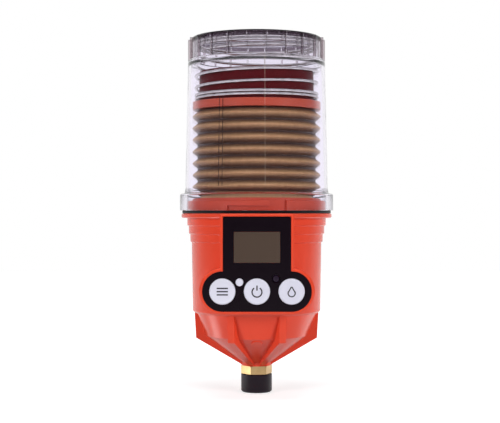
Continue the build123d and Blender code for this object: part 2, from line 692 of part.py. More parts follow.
# ---------------------------------------------------------------- pouch, pusher and spring
def make_pouch_collar():
    """The pouch's moulded base: lip, skirt, web and the nozzle that plugs into the deck."""
    skirt = NECK_INSIDE - COLLAR_GAP
    web = FLANGE_TOP + COLLAR_GAP + COLLAR_WEB
    points = [(NOZZLE_BORE, nozzle_end), (NOZZLE_RADIUS, nozzle_end)]
    points += [(NOZZLE_RADIUS, web - COLLAR_WEB), (skirt, web - COLLAR_WEB)]
    points += [(skirt, neck_top), (COLLAR_RADIUS, neck_top), (COLLAR_RADIUS, collar_top)]
    points += [(skirt - COLLAR_WALL, collar_top), (skirt - COLLAR_WALL, web)]
    points += [(NOZZLE_BORE, web)]
    collar = revolved(points)
    groove_z = (nozzle_end + FLANGE_TOP + COLLAR_GAP) / 2
    groove = cylinder_z(NOZZLE_RADIUS + 1, groove_z - GROOVE_HALF, groove_z + GROOVE_HALF)
    groove = groove - cylinder_z(NOZZLE_RADIUS - O_RING, groove_z - O_RING, groove_z + O_RING)
    return collar - groove


def make_nozzle_seal():
    groove_z = (nozzle_end + FLANGE_TOP + COLLAR_GAP) / 2
    section = Pos(NOZZLE_RADIUS - O_RING / 2, groove_z) * RegularPolygon(O_RING / 2, COIL_SIDES)
    return revolve(Plane.XZ * section, Axis.Z)


def make_grease_bellows():
    """The folded pouch, full of grease: flat flanks between narrow tips and roots."""
    neck = FOLD_ROOT - FOLD_ROOT_FLAT
    first_root = collar_top + FOLD_START
    outline = [(0, collar_top), (neck, collar_top), (FOLD_ROOT, first_root - FOLD_ROOT_FLAT / 2)]
    for fold in range(FOLDS):
        root_z = first_root + FOLD_PITCH * fold
        tip_z = root_z + FOLD_PITCH / 2
        outline.append((FOLD_ROOT, root_z + FOLD_ROOT_FLAT / 2))
        outline.append((FOLD_TIP, tip_z - FOLD_TIP_FLAT / 2))
        outline.append((FOLD_TIP, tip_z + FOLD_TIP_FLAT / 2))
        outline.append((FOLD_ROOT, root_z + FOLD_PITCH - FOLD_ROOT_FLAT / 2))
    outline += [(neck, pouch_top), (0, pouch_top)]
    return revolved(outline)


def make_pusher():
    """Plate that presses on the pouch, with the cup that guides the spring."""
    flange_top = pouch_top + PUSHER_FLANGE_HEIGHT
    rim = pouch_top + PUSHER_HEIGHT
    points = [(0, pouch_top), (PUSHER_FLANGE - PUSHER_EDGE, pouch_top)]
    points += [(PUSHER_FLANGE, pouch_top + PUSHER_EDGE), (PUSHER_FLANGE, flange_top - PUSHER_EDGE)]
    points += [(PUSHER_FLANGE - PUSHER_EDGE, flange_top), (PUSHER_CUP, flange_top)]
    points += [(PUSHER_CUP - PUSHER_EDGE, rim)]
    points += [(PUSHER_CUP - PUSHER_WALL, rim), (PUSHER_CUP - PUSHER_WALL, pouch_top + PUSHER_WALL)]
    points += [(0, pouch_top + PUSHER_WALL)]
    return revolved(points)


def make_pusher_spring():
    """Compression spring from the pusher's flange to the cover's top, closed at both ends."""
    bottom = pouch_top + PUSHER_FLANGE_HEIGHT + SPRING_WIRE / 2
    top = cover_inside_top - SPRING_WIRE / 2
    closed = SPRING_CLOSED_TURNS * SPRING_CLOSED_PITCH
    open_pitch = (top - bottom - 2 * closed) / SPRING_OPEN_TURNS
    stages = [(SPRING_CLOSED_TURNS, SPRING_CLOSED_PITCH), (SPRING_OPEN_TURNS, open_pitch)]
    stages.append((SPRING_CLOSED_TURNS, SPRING_CLOSED_PITCH))
    return coil(SPRING_RADIUS, SPRING_WIRE, stages, bottom)


# ---------------------------------------------------------------- keypad
def make_keypad_panel():
    outline = panel_outline(0, panel_top)
    corners = outline.vertices().group_by(Axis.Y)[-1]
    outline = fillet(corners, PANEL_CORNER)
    panel = front_prism(outline, panel_back, PANEL_FACE + PANEL_PROUD)
    window = Pos(0, WINDOW_Z) * Rectangle(WINDOW_WIDTH + 2 * PANEL_GAP,
                                          WINDOW_HEIGHT + 2 * PANEL_GAP)
    panel = panel - front_prism(window, panel_back - 1, PANEL_FACE + 1)
    for x, z in key_places():
        panel = panel - cylinder_y(KEY_RADIUS + KEY_GAP, -PANEL_FACE - 1, 1 - panel_back, x, z)
    panel = panel - cylinder_y(RESET_RADIUS + KEY_GAP, -PANEL_FACE - 1, 1 - panel_back,
                               RESET_X, RESET_Z)
    return panel - cylinder_y(LED_RADIUS + KEY_GAP, -PANEL_FACE - 1, 1 - panel_back,
                              LED_X, LED_Z)


def make_key(radius, flange_width, x, z):
    """A round key: slightly crowned cap, flange behind the wall, stem to the snap dome."""
    face = PANEL_FACE + PANEL_PROUD + KEY_PROUD
    cap = cylinder_y(radius, -face, -key_flange_front, x, z)
    cap = chamfer(cap.edges().group_by(Axis.Y)[0], KEY_EDGE)
    flange = cylinder_y(radius + flange_width, -key_flange_front,
                        KEY_FLANGE_THICKNESS - key_flange_front, x, z)
    stem = cylinder_y(KEY_STEM_RADIUS, KEY_FLANGE_THICKNESS - key_flange_front, -key_stem_end, x, z)
    return cap + flange + stem


def make_display_window():
    pane = Pos(0, WINDOW_Z) * Rectangle(WINDOW_WIDTH, WINDOW_HEIGHT)
    return front_prism(pane, panel_back, PANEL_FACE + PANEL_PROUD / 2)


def lcd_size():
    width = WINDOW_WIDTH - 2 * WINDOW_LEDGE + 2 * LCD_MARGIN
    height = WINDOW_HEIGHT - 2 * WINDOW_LEDGE + 2 * LCD_MARGIN
    return width, height


def make_lcd():
    width, height = lcd_size()
    glass = Pos(0, WINDOW_Z) * Rectangle(width, height)
    return front_prism(glass, wall_back - LCD_THICKNESS, wall_back)


def make_lcd_frame():
    """Frame that carries the display off the board."""
    width, height = lcd_size()
    outer = Pos(0, WINDOW_Z) * Rectangle(width + 2 * LCD_FRAME_WALL, height + 2 * LCD_FRAME_WALL)
    pocket = Pos(0, WINDOW_Z) * Rectangle(width + 2 * PANEL_GAP, height + 2 * PANEL_GAP)
    opening = Pos(0, WINDOW_Z) * Rectangle(width - 2 * LCD_FRAME_WALL, height - 2 * LCD_FRAME_WALL)
    frame = front_prism(outer, BOARD_FACE, wall_back - PANEL_GAP)
    frame = frame - front_prism(pocket, wall_back - LCD_THICKNESS, wall_back + 1)
    return frame - front_prism(opening, BOARD_FACE - 1, wall_back)


def make_circuit_board():
    inside = BOSS_MARGIN - BOSS_WALL - BOARD_GAP
    board = front_prism(panel_outline(inside, deck_bottom - BOSS_WALL - BOARD_GAP),
                        board_back, BOARD_FACE)
    for x, z in board_post_places():
        board = board - cylinder_y(SMALL_SCREW_RADIUS + SCREW_GAP, -BOARD_FACE - 1,
                                   1 - board_back, x, z)
    for lead in (-0.5, 0.5):
        board = board - cylinder_y(LED_LEAD, -BOARD_FACE - 1, 1 - board_back,
                                   LED_X + lead * LED_LEAD_PITCH, LED_Z)
    return board


def make_snap_domes():
    """Metal domes under the four keys, soldered to the board."""
    domes = [cylinder_y(DOME_RADIUS, -BOARD_FACE - DOME_HEIGHT, -BOARD_FACE, x, z)
             for x, z in key_places()]
    domes.append(cylinder_y(SMALL_DOME_RADIUS, -BOARD_FACE - DOME_HEIGHT, -BOARD_FACE,
                            RESET_X, RESET_Z))
    return Compound(domes)


def make_status_led():
    """A round lens in the panel, on two leads through the board."""
    lens = cylinder_y(LED_RADIUS, -PANEL_FACE, -key_flange_front, LED_X, LED_Z)
    lens = chamfer(lens.edges().group_by(Axis.Y)[0], LED_EDGE)
    lens += cylinder_y(LED_RADIUS + RESET_FLANGE, -key_flange_front,
                       KEY_FLANGE_THICKNESS - key_flange_front, LED_X, LED_Z)
    for lead in (-0.5, 0.5):
        lens += cylinder_y(LED_LEAD - LED_LEAD_GAP, KEY_FLANGE_THICKNESS - key_flange_front, -board_back,
                           LED_X + lead * LED_LEAD_PITCH, LED_Z)
    return lens


def make_board_screws():
    screws = []
    length = BOARD_THICKNESS + (wall_back - BOARD_FACE) - 1
    for x, z in board_post_places():
        screw = pan_screw(SMALL_SCREW_RADIUS, SMALL_SCREW_HEAD, SMALL_SCREW_HEAD_HEIGHT, length)
        screws.append(Pos(x, -board_back, z) * Rot(-90, 0, 0) * screw)
    return Compound(screws)


# ---------------------------------------------------------------- outlet
def make_outlet_fitting():
    """Brass hexagon with the pipe thread below and the check valve's pocket above."""
    shank = cylinder_z(SHANK_RADIUS, HOUSING_BOTTOM, SHANK_TOP)
    hexagon = extrude(Rot(0, 0, HEX_TURN) * RegularPolygon(hex_corner, 6), HOUSING_BOTTOM)
    rise = (hex_corner - HEX_CHAMFER_RADIUS) * HEX_CHAMFER_SLOPE
    outside = hex_corner + 1
    rise += HEX_CHAMFER_SLOPE
    crown = revolved([(0, 0), (HEX_CHAMFER_RADIUS, 0), (outside, rise),
                      (outside, HOUSING_BOTTOM - rise),
                      (HEX_CHAMFER_RADIUS, HOUSING_BOTTOM), (0, HOUSING_BOTTOM)])
    thread = cylinder_z(THREAD_RADIUS, -THREAD_LENGTH, 0)
    thread = chamfer(thread.edges().group_by(Axis.Z)[0], THREAD_CHAMFER)
    fitting = shank + (hexagon & crown) + thread
    fitting = fitting - cylinder_z(OUTLET_BORE, -THREAD_LENGTH - 1, SHANK_TOP + 1)
    fitting = fitting - cylinder_z(PLUG_BORE, -THREAD_LENGTH - 1, PLUG_BORE_DEPTH - THREAD_LENGTH)
    return fitting - cylinder_z(CHECK_POCKET, SHANK_TOP - CHECK_POCKET_DEPTH, SHANK_TOP + 1)


def make_outlet_cap():
    """Protective cap over the thread, held by a plug in the outlet's bore."""
    inside = CAP_RADIUS - CAP_WALL
    floor = CAP_WALL - CAP_LENGTH
    plug = PLUG_BORE - CAP_PLUG_GAP
    points = [(0, -CAP_LENGTH), (CAP_RADIUS - CAP_EDGE, -CAP_LENGTH)]
    points += [(CAP_RADIUS - CAP_EDGE * 0.3, -CAP_LENGTH + CAP_EDGE * 0.3)]
    points += [(CAP_RADIUS, -CAP_LENGTH + CAP_EDGE), (CAP_RADIUS, 0), (inside, 0)]
    plug_top = CAP_PLUG_LENGTH - THREAD_LENGTH
    points += [(inside, floor), (plug, floor), (plug, plug_top - CAP_PLUG_EDGE)]
    points += [(plug - CAP_PLUG_EDGE, plug_top), (0, plug_top)]
    return revolved(points)


# ---------------------------------------------------------------- pump
def make_pump_block():
    """Body of the pump: pumping bore, valve seat, shank port and the inlet's side boss."""
    body = cylinder_z(BLOCK_RADIUS, BLOCK_BOTTOM, BLOCK_TOP)
    inlet_end = FEED_Y - INLET_HALF_WIDTH
    arm = block(-INLET_HALF_WIDTH, INLET_HALF_WIDTH, inlet_end, 0,
                INLET_Z - INLET_BORE - INLET_WALL, FEED_BOTTOM + INLET_LIP)
    body = body + arm
    body = body - cylinder_z(SHANK_RADIUS + SHANK_GAP, BLOCK_BOTTOM - 1, SHANK_TOP)
    body = body - cylinder_z(SEAT_BORE, SHANK_TOP - 1, SEAT_TOP + 1)
    body = body - cylinder_z(CHECK_POCKET, SHANK_TOP - 1, SHANK_TOP + SEAT_RISE)
    body = body - cylinder_z(PLUNGER_RADIUS + PLUNGER_GAP, SEAT_TOP, BLOCK_TOP + 1)
    body = body - cylinder_y(INLET_BORE, FEED_Y, 0, 0, INLET_Z)
    body = body - cylinder_z(INLET_BORE, INLET_Z, FEED_BOTTOM + 1, 0, FEED_Y)
    return body - cylinder_z(FEED_RADIUS + FEED_GAP, FEED_BOTTOM, BLOCK_TOP + 1, 0, FEED_Y)


def make_feed_tube():
    tube = cylinder_z(FEED_RADIUS, FEED_BOTTOM, socket_bottom + FEED_BORE, 0, FEED_Y)
    return tube - cylinder_z(FEED_BORE, FEED_BOTTOM - 1, socket_bottom + FEED_BORE + 1, 0, FEED_Y)


def check_ball_z():
    """The ball's centre, just under the edge of its seat."""
    depth = math.sqrt(CHECK_BALL_RADIUS ** 2 - SEAT_BORE ** 2)
    return SHANK_TOP + SEAT_RISE - depth - CHECK_BALL_GAP


def make_check_ball():
    return Pos(0, 0, check_ball_z()) * Sphere(CHECK_BALL_RADIUS)


def make_check_spring():
    bottom = SHANK_TOP - CHECK_POCKET_DEPTH + CHECK_WIRE / 2
    contact = math.sqrt((CHECK_BALL_RADIUS + CHECK_WIRE / 2) ** 2 - CHECK_COIL_RADIUS ** 2)
    top = check_ball_z() - contact - CHECK_BALL_GAP
    return coil(CHECK_COIL_RADIUS, CHECK_WIRE, [(CHECK_TURNS, (top - bottom) / CHECK_TURNS)], bottom)


def make_plunger():
    """Ground rod with the tappet that the cam presses on."""
    shoulder = tappet_tip - TAPPET_TIP_RADIUS
    rod = cylinder_z(PLUNGER_RADIUS, PLUNGER_BOTTOM, shoulder)
    tappet = cylinder_z(TAPPET_RADIUS, shoulder - TAPPET_THICKNESS, shoulder)
    follower = cylinder_x(TAPPET_TIP_RADIUS, -CAM_WIDTH / 2, CAM_WIDTH / 2, 0, shoulder)
    return rod + tappet + follower


def make_plunger_spring():
    bottom = BLOCK_TOP + RETURN_WIRE / 2
    top = tappet_tip - TAPPET_TIP_RADIUS - TAPPET_THICKNESS - RETURN_WIRE / 2
    pitch = (top - bottom) / RETURN_TURNS
    return coil(RETURN_COIL_RADIUS, RETURN_WIRE, [(RETURN_TURNS, pitch)], bottom)


# ---------------------------------------------------------------- drive
def x_plane(x):
    """Sketch plane across the camshaft: its x is +Y and its y is +Z."""
    return Plane(origin=(x, 0, 0), x_dir=(0, 1, 0), z_dir=(1, 0, 0))


def make_snail_cam():
    """Cam that presses the plunger down evenly over most of a turn, then lets it spring back."""
    rise = [(CAM_START_RADIUS + STROKE * i / CAM_STEPS, -90 - CAM_RISE_ANGLE * i / CAM_STEPS)
            for i in range(CAM_STEPS + 1)]
    drop_end = -90 - CAM_RISE_ANGLE - CAM_DROP
    start = [(r * math.cos(math.radians(a)), r * math.sin(math.radians(a))) for r, a in rise]
    end = (CAM_START_RADIUS * math.cos(math.radians(drop_end)),
           CAM_START_RADIUS * math.sin(math.radians(drop_end)))
    middle = math.radians((drop_end - 450) / 2)
    dwell = (CAM_START_RADIUS * math.cos(middle), CAM_START_RADIUS * math.sin(middle))
    outline = Spline(*start) + Line(start[-1], end) + ThreePointArc(end, dwell, start[0])
    face = make_face(outline)
    cam = extrude(x_plane(-CAM_WIDTH / 2) * Pos(0, CAMSHAFT_Z) * face, CAM_WIDTH)
    return cam - cylinder_x(CAMSHAFT_RADIUS, -CAM_WIDTH, CAM_WIDTH, 0, CAMSHAFT_Z)


def make_camshaft():
    start = -plate_outside - SHAFT_END
    end = gear_start + GEAR_WIDTH + SHAFT_END
    shaft = cylinder_x(CAMSHAFT_RADIUS, start, end, 0, CAMSHAFT_Z)
    return chamfer(shaft.faces().filter_by(Axis.X).edges(), SHAFT_EDGE)


def make_cam_gear():
    place = x_plane(gear_start) * Pos(0, CAMSHAFT_Z)
    gear = extrude(place * gear_outline(GEAR_TEETH, 90), GEAR_WIDTH)
    rim = MODULE * (GEAR_TEETH / 2 - DEDENDUM) - GEAR_RIM
    web = x_plane(gear_start + GEAR_WEB) * Pos(0, CAMSHAFT_Z)
    gear = gear - extrude(web * (Circle(rim) - Circle(GEAR_HUB_RADIUS)), GEAR_WIDTH)
    return gear - cylinder_x(CAMSHAFT_RADIUS, gear_start - 1, gear_start + GEAR_WIDTH + 1,
                             0, CAMSHAFT_Z)


def make_motor_pinion():
    place = x_plane(gear_start) * Pos(0, motor_z)
    half_tooth = 180 / PINION_TEETH
    pinion = extrude(place * gear_outline(PINION_TEETH, -90 + half_tooth), GEAR_WIDTH)
    return pinion - cylinder_x(MOTOR_SHAFT_RADIUS, gear_start - 1, gear_start + GEAR_WIDTH + 1,
                               0, motor_z)


def make_motor_shaft():
    return cylinder_x(MOTOR_SHAFT_RADIUS, CAM_SIDE - MOTOR_SHAFT_DEPTH,
                      gear_start + GEAR_WIDTH + SHAFT_END / 2, 0, motor_z)


def make_gearmotor():
    """Small direct-current motor with its gearbox in one can, the nose through the plate."""
    start = CAM_SIDE - MOTOR_LENGTH
    can = cylinder_x(MOTOR_RADIUS, start, CAM_SIDE, 0, motor_z)
    can = chamfer(can.edges().group_by(Axis.X)[0], MOTOR_EDGE)
    can = can + cylinder_x(MOTOR_NOSE_RADIUS, CAM_SIDE, CAM_SIDE + MOTOR_NOSE_LENGTH, 0, motor_z)
    can = can + cylinder_x(MOTOR_NOSE_RADIUS, start - MOTOR_NOSE_LENGTH, start, 0, motor_z)
    tab_thickness, tab_width, tab_length = MOTOR_TAB
    for side in (-1, 1):
        tab_y = side * MOTOR_TAB_Y
        can = can + block(start - tab_length, start, tab_y - tab_thickness / 2,
                          tab_y + tab_thickness / 2, motor_z - tab_width / 2,
                          motor_z + tab_width / 2)
        can = can - cylinder_x(SMALL_SCREW_RADIUS, CAM_SIDE - MOTOR_TAP_DEPTH, CAM_SIDE + 1,
                               side * MOTOR_SCREW_PITCH, motor_z)
    return can - cylinder_x(MOTOR_SHAFT_RADIUS + SHAFT_GAP, CAM_SIDE - MOTOR_SHAFT_DEPTH - SHAFT_GAP,
                            CAM_SIDE + MOTOR_NOSE_LENGTH + 1, 0, motor_z)


def make_motor_screws():
    screws = []
    for side in (-1, 1):
        screw = pan_screw(SMALL_SCREW_RADIUS, SMALL_SCREW_HEAD, SMALL_SCREW_HEAD_HEIGHT,
                          PLATE_THICKNESS + MOTOR_SCREW_GRIP)
        seat = Pos(plate_outside, side * MOTOR_SCREW_PITCH, motor_z)
        screws.append(seat * Rot(0, 90, 0) * screw)
    return Compound(screws)


# ---------------------------------------------------------------- chassis and battery
def bearing_plate(inside, top):
    """One upright of the chassis, from its floor to a rounded top."""
    plate = block(inside, inside + PLATE_THICKNESS, -PLATE_HALF_WIDTH, PLATE_HALF_WIDTH,
                  chassis_top, top - PLATE_HALF_WIDTH)
    return plate + cylinder_x(PLATE_HALF_WIDTH, inside, inside + PLATE_THICKNESS,
                              0, top - PLATE_HALF_WIDTH)


def make_chassis():
    floor_radius = BODY_RADIUS - HOUSING_WALL - CHASSIS_GAP
    chassis = cylinder_z(floor_radius, CHASSIS_BOTTOM, chassis_top)
    chassis = chassis + bearing_plate(CAM_SIDE, motor_z + PLATE_HALF_WIDTH)
    chassis = chassis + bearing_plate(-plate_outside, CAMSHAFT_Z + FAR_PLATE_RISE)
    pack_side = CELL_RADIUS + PACK_SLEEVE + CRADLE_GAP
    front = BATTERY_Y - pack_side
    half = (CELLS - 1) * CELL_RADIUS + pack_side
    for side in (-1, 1):
        x = side * (half - CRADLE_WIDTH / 2)
        chassis = chassis + block(x - CRADLE_WIDTH / 2, x + CRADLE_WIDTH / 2, front - CRADLE_WALL,
                                  front, chassis_top, chassis_top + CRADLE_HEIGHT)
    chassis = chassis - cylinder_z(BLOCK_RADIUS + CHASSIS_GAP, CHASSIS_BOTTOM - 1,
                                   chassis_top + 1)
    chassis = chassis - cylinder_z(FEED_RADIUS + CHASSIS_GAP, CHASSIS_BOTTOM - 1,
                                   chassis_top + 1, 0, FEED_Y)
    chassis = chassis - cylinder_x(gear_tip_radius + WELL_GAP, plate_outside,
                                   gear_start + GEAR_WIDTH + WELL_GAP, 0, CAMSHAFT_Z)
    for bearing in (cylinder_x(CAMSHAFT_RADIUS + SHAFT_GAP, -plate_outside - 1,
                               plate_outside + 1, 0, CAMSHAFT_Z),
                    cylinder_x(MOTOR_NOSE_RADIUS + NOSE_GAP, CAM_SIDE - 1, plate_outside + 1,
                               0, motor_z)):
        chassis = chassis - bearing
    for side in (-1, 1):
        chassis = chassis - cylinder_x(SMALL_SCREW_RADIUS + SCREW_GAP, CAM_SIDE - 1,
                                       plate_outside + 1, side * MOTOR_SCREW_PITCH, motor_z)
    for angle in chassis_screw_angles():
        hole = cylinder_z(BIG_SCREW_RADIUS + SCREW_GAP, CHASSIS_BOTTOM - 1, chassis_top + 1,
                          0, -CHASSIS_SCREW_CIRCLE)
        chassis = chassis - azimuth(angle) * hole
    return chassis


def make_chassis_screws():
    screws = []
    for angle in chassis_screw_angles():
        screw = pan_screw(BIG_SCREW_RADIUS, BIG_SCREW_HEAD, BIG_SCREW_HEAD_HEIGHT,
                          CHASSIS_THICKNESS + CHASSIS_POST_LENGTH / 2)
        screws.append(azimuth(angle) * Pos(0, -CHASSIS_SCREW_CIRCLE, chassis_top) * screw)
    return Compound(screws)


def cell_places():
    middle = (CELLS - 1) / 2
    return [2 * CELL_RADIUS * (cell - middle) for cell in range(CELLS)]


def make_battery_pack():
    """Cells side by side in one shrunk sleeve, with their end caps showing."""
    radius = CELL_RADIUS + PACK_SLEEVE
    pack = cylinder_z(radius, chassis_top, chassis_top + cell_height, cell_places()[0], BATTERY_Y)
    for x in cell_places()[1:]:
        pack = pack + cylinder_z(radius, chassis_top, chassis_top + cell_height, x, BATTERY_Y)
    for x in cell_places():
        pack = pack + cylinder_z(CELL_RADIUS * CELL_CAP, chassis_top + cell_height,
                                 chassis_top + cell_height + TERMINAL_HEIGHT, x, BATTERY_Y)
    return pack


# ---------------------------------------------------------------- every node
NODES = {
    "main_housing": make_main_housing,
    "deck": make_deck,
    "deck_screws": make_deck_screws,
    "cover_seal": make_cover_seal,
    "clear_cover": make_clear_cover,
    "pouch_collar": make_pouch_collar,
    "nozzle_seal": make_nozzle_seal,
    "grease_bellows": make_grease_bellows,
    "pusher": make_pusher,
    "pusher_spring": make_pusher_spring,
    "keypad_panel": make_keypad_panel,
    "mode_key": lambda: make_key(KEY_RADIUS, KEY_FLANGE, *key_places()[0]),
    "power_key": lambda: make_key(KEY_RADIUS, KEY_FLANGE, *key_places()[1]),
    "test_key": lambda: make_key(KEY_RADIUS, KEY_FLANGE, *key_places()[2]),
    "reset_key": lambda: make_key(RESET_RADIUS, RESET_FLANGE, RESET_X, RESET_Z),
    "status_led": make_status_led,
    "display_window": make_display_window,
    "lcd": make_lcd,
    "lcd_frame": make_lcd_frame,
    "circuit_board": make_circuit_board,
    "snap_domes": make_snap_domes,
    "board_screws": make_board_screws,
    "outlet_fitting": make_outlet_fitting,
    "outlet_cap": make_outlet_cap,
    "pump_block": make_pump_block,
    "feed_tube": make_feed_tube,
    "check_ball": make_check_ball,
    "check_spring": make_check_spring,
    "plunger": make_plunger,
    "plunger_spring": make_plunger_spring,
    "snail_cam": make_snail_cam,
    "camshaft": make_camshaft,
    "cam_gear": make_cam_gear,
    "motor_pinion": make_motor_pinion,
    "motor_shaft": make_motor_shaft,
    "gearmotor": make_gearmotor,
    "motor_screws": make_motor_screws,
    "chassis": make_chassis,
    "chassis_screws": make_chassis_screws,
    "battery_pack": make_battery_pack,
}

os.makedirs("parts", exist_ok=True)
for name, make in NODES.items():
    export_step(make(), f"parts/{name}.step")
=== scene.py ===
import math

import bpy
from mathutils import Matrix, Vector


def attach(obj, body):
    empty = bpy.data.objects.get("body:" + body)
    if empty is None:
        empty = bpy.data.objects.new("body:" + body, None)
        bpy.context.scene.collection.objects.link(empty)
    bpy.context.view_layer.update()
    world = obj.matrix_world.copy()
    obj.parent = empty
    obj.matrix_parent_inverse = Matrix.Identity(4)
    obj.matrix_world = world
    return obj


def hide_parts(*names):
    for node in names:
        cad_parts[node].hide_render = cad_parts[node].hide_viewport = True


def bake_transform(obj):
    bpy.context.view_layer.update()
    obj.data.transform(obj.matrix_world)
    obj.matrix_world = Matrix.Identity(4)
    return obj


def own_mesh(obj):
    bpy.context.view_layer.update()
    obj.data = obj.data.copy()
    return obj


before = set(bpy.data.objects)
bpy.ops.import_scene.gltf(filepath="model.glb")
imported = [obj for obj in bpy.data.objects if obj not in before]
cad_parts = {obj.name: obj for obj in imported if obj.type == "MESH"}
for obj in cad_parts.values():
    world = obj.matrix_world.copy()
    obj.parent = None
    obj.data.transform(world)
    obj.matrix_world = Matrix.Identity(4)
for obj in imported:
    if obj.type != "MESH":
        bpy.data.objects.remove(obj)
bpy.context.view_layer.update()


# ---------------------------------------------------------------- main housing
# The lower half of the lubricator: one orange-red injection moulding with stepped rings under
# its flange, a flat-faced boss for the keypad, and upright ribs that run down to the outlet.
def set_down():
    """Back to object mode with nothing selected."""
    if bpy.context.mode != "OBJECT":
        bpy.ops.object.mode_set(mode="OBJECT")
    bpy.ops.object.select_all(action="DESELECT")


def pick_up(piece):
    set_down()
    piece.hide_viewport = False
    piece.select_set(True)
    bpy.context.view_layer.objects.active = piece


def even_shading(piece, angle=30):
    """Smooth shading up to the sharp edges, led by the large faces, so that flats stay flat."""
    pick_up(piece)
    bpy.ops.object.shade_smooth_by_angle(angle=math.radians(angle))
    even = piece.modifiers.new("even", "WEIGHTED_NORMAL")
    even.mode = "FACE_AREA"
    even.weight = 50
    even.keep_sharp = True
    bpy.ops.object.modifier_apply(modifier=even.name)


def break_edges(piece, width, segments=2, angle=30):
    """Small rounds on the sharp edges, as a mould or a tool leaves them."""
    pick_up(piece)
    rounds = piece.modifiers.new("rounds", "BEVEL")
    rounds.width = width
    rounds.segments = segments
    rounds.limit_method = "ANGLE"
    rounds.angle_limit = math.radians(angle)
    rounds.use_clamp_overlap = True
    bpy.ops.object.modifier_apply(modifier=rounds.name)
    even_shading(piece, angle + 5)


def cast_from(node, name, edge=0.0):
    """A piece with the node's own form: its triangles merged into faces and its edges broken."""
    set_down()
    piece = bpy.data.objects.new(name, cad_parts[node].data.copy())
    piece.data.materials.clear()
    bpy.context.scene.collection.objects.link(piece)
    pick_up(piece)
    bpy.ops.object.mode_set(mode="EDIT")
    bpy.ops.mesh.select_all(action="SELECT")
    bpy.ops.mesh.remove_doubles(threshold=2e-6)
    bpy.ops.mesh.dissolve_limited(angle_limit=math.radians(0.1))
    bpy.ops.object.mode_set(mode="OBJECT")
    if edge:
        break_edges(piece, edge)
    else:
        even_shading(piece)
    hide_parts(node)
    return piece


def paint(code):
    """A colour written as six hex digits, as the shader takes it."""
    parts = [int(code[i:i + 2], 16) / 255 for i in (0, 2, 4)]
    linear = [c / 12.92 if c <= 0.04045 else ((c + 0.055) / 1.055) ** 2.4 for c in parts]
    return (*linear, 1.0)


def set_inputs(node, values):
    for label, value in values.items():
        node.inputs[label].default_value = value


def add_node(tree, kind, values=None, **settings):
    """A shader node with its settings, and the values that stand in its inputs."""
    node = tree.nodes.new("ShaderNode" + kind)
    for label, setting in settings.items():
        setattr(node, label, setting)
    set_inputs(node, values or {})
    return node


def wire(tree, *links):
    """The links of a node tree, each written as (node, its output, next node, its input)."""
    for source, given_out, target, taken_in in links:
        tree.links.new(source.outputs[given_out], target.inputs[taken_in])


def blank_material(name, values):
    """A new material with its tree and its main shader, some of whose inputs are given."""
    finish = bpy.data.materials.new(name)
    finish.use_nodes = True
    shader = finish.node_tree.nodes["Principled BSDF"]
    set_inputs(shader, values)
    return finish, finish.node_tree, shader


def dress(piece, material):
    piece.data.materials.clear()
    piece.data.materials.append(material)


def effect(name, inputs, outputs):
    """An empty node group for one surface effect, with its sockets."""
    group = bpy.data.node_groups.new(name, "ShaderNodeTree")
    for label, kind, start in inputs:
        socket = group.interface.new_socket(label, in_out="INPUT", socket_type=kind)
        socket.default_value = start
    for label, kind in outputs:
        group.interface.new_socket(label, in_out="OUTPUT", socket_type=kind)
    return group, group.nodes.new("NodeGroupInput"), group.nodes.new("NodeGroupOutput")


# Moulded skin: fine spark-eroded texture of the tool, slow flow marks and a little uneven gloss.
skin, taken, given = effect("moulded_skin", [
    ("Colour", "NodeSocketColor", (0.5, 0.5, 0.5, 1)),
    ("Flow colour", "NodeSocketColor", (0.4, 0.4, 0.4, 1)),
    ("Flow", "NodeSocketFloat", 0.25),
    ("Gloss", "NodeSocketFloat", 0.35),
    ("Texture per metre", "NodeSocketFloat", 2600.0),
], [("Colour", "NodeSocketColor"), ("Roughness", "NodeSocketFloat"),
    ("Height", "NodeSocketFloat")])
place = add_node(skin, "TexCoord")
stretch = add_node(skin, "Mapping", {"Scale": (1.0, 1.0, 0.35)})
flow = add_node(skin, "TexNoise", {"Scale": 38, "Detail": 2})
flow_share = add_node(skin, "Math", operation="MULTIPLY")
tint = add_node(skin, "Mix", data_type="RGBA")
grain = add_node(skin, "TexNoise", {"Detail": 2})
gloss_low = add_node(skin, "Math", {1: 0.10}, operation="MULTIPLY_ADD")
wire(skin,
     (place, "Object", stretch, "Vector"),
     (stretch, "Vector", flow, "Vector"),
     (place, "Object", grain, "Vector"),
     (taken, "Texture per metre", grain, "Scale"),
     (flow, "Fac", flow_share, 0),
     (taken, "Flow", flow_share, 1),
     (flow_share, 0, tint, "Factor"),
     (taken, "Colour", tint, "A"),
     (taken, "Flow colour", tint, "B"),
     (flow, "Fac", gloss_low, 0),
     (taken, "Gloss", gloss_low, 2),
     (tint, "Result", given, "Colour"),
     (gloss_low, 0, given, "Roughness"),
     (grain, "Fac", given, "Height"))

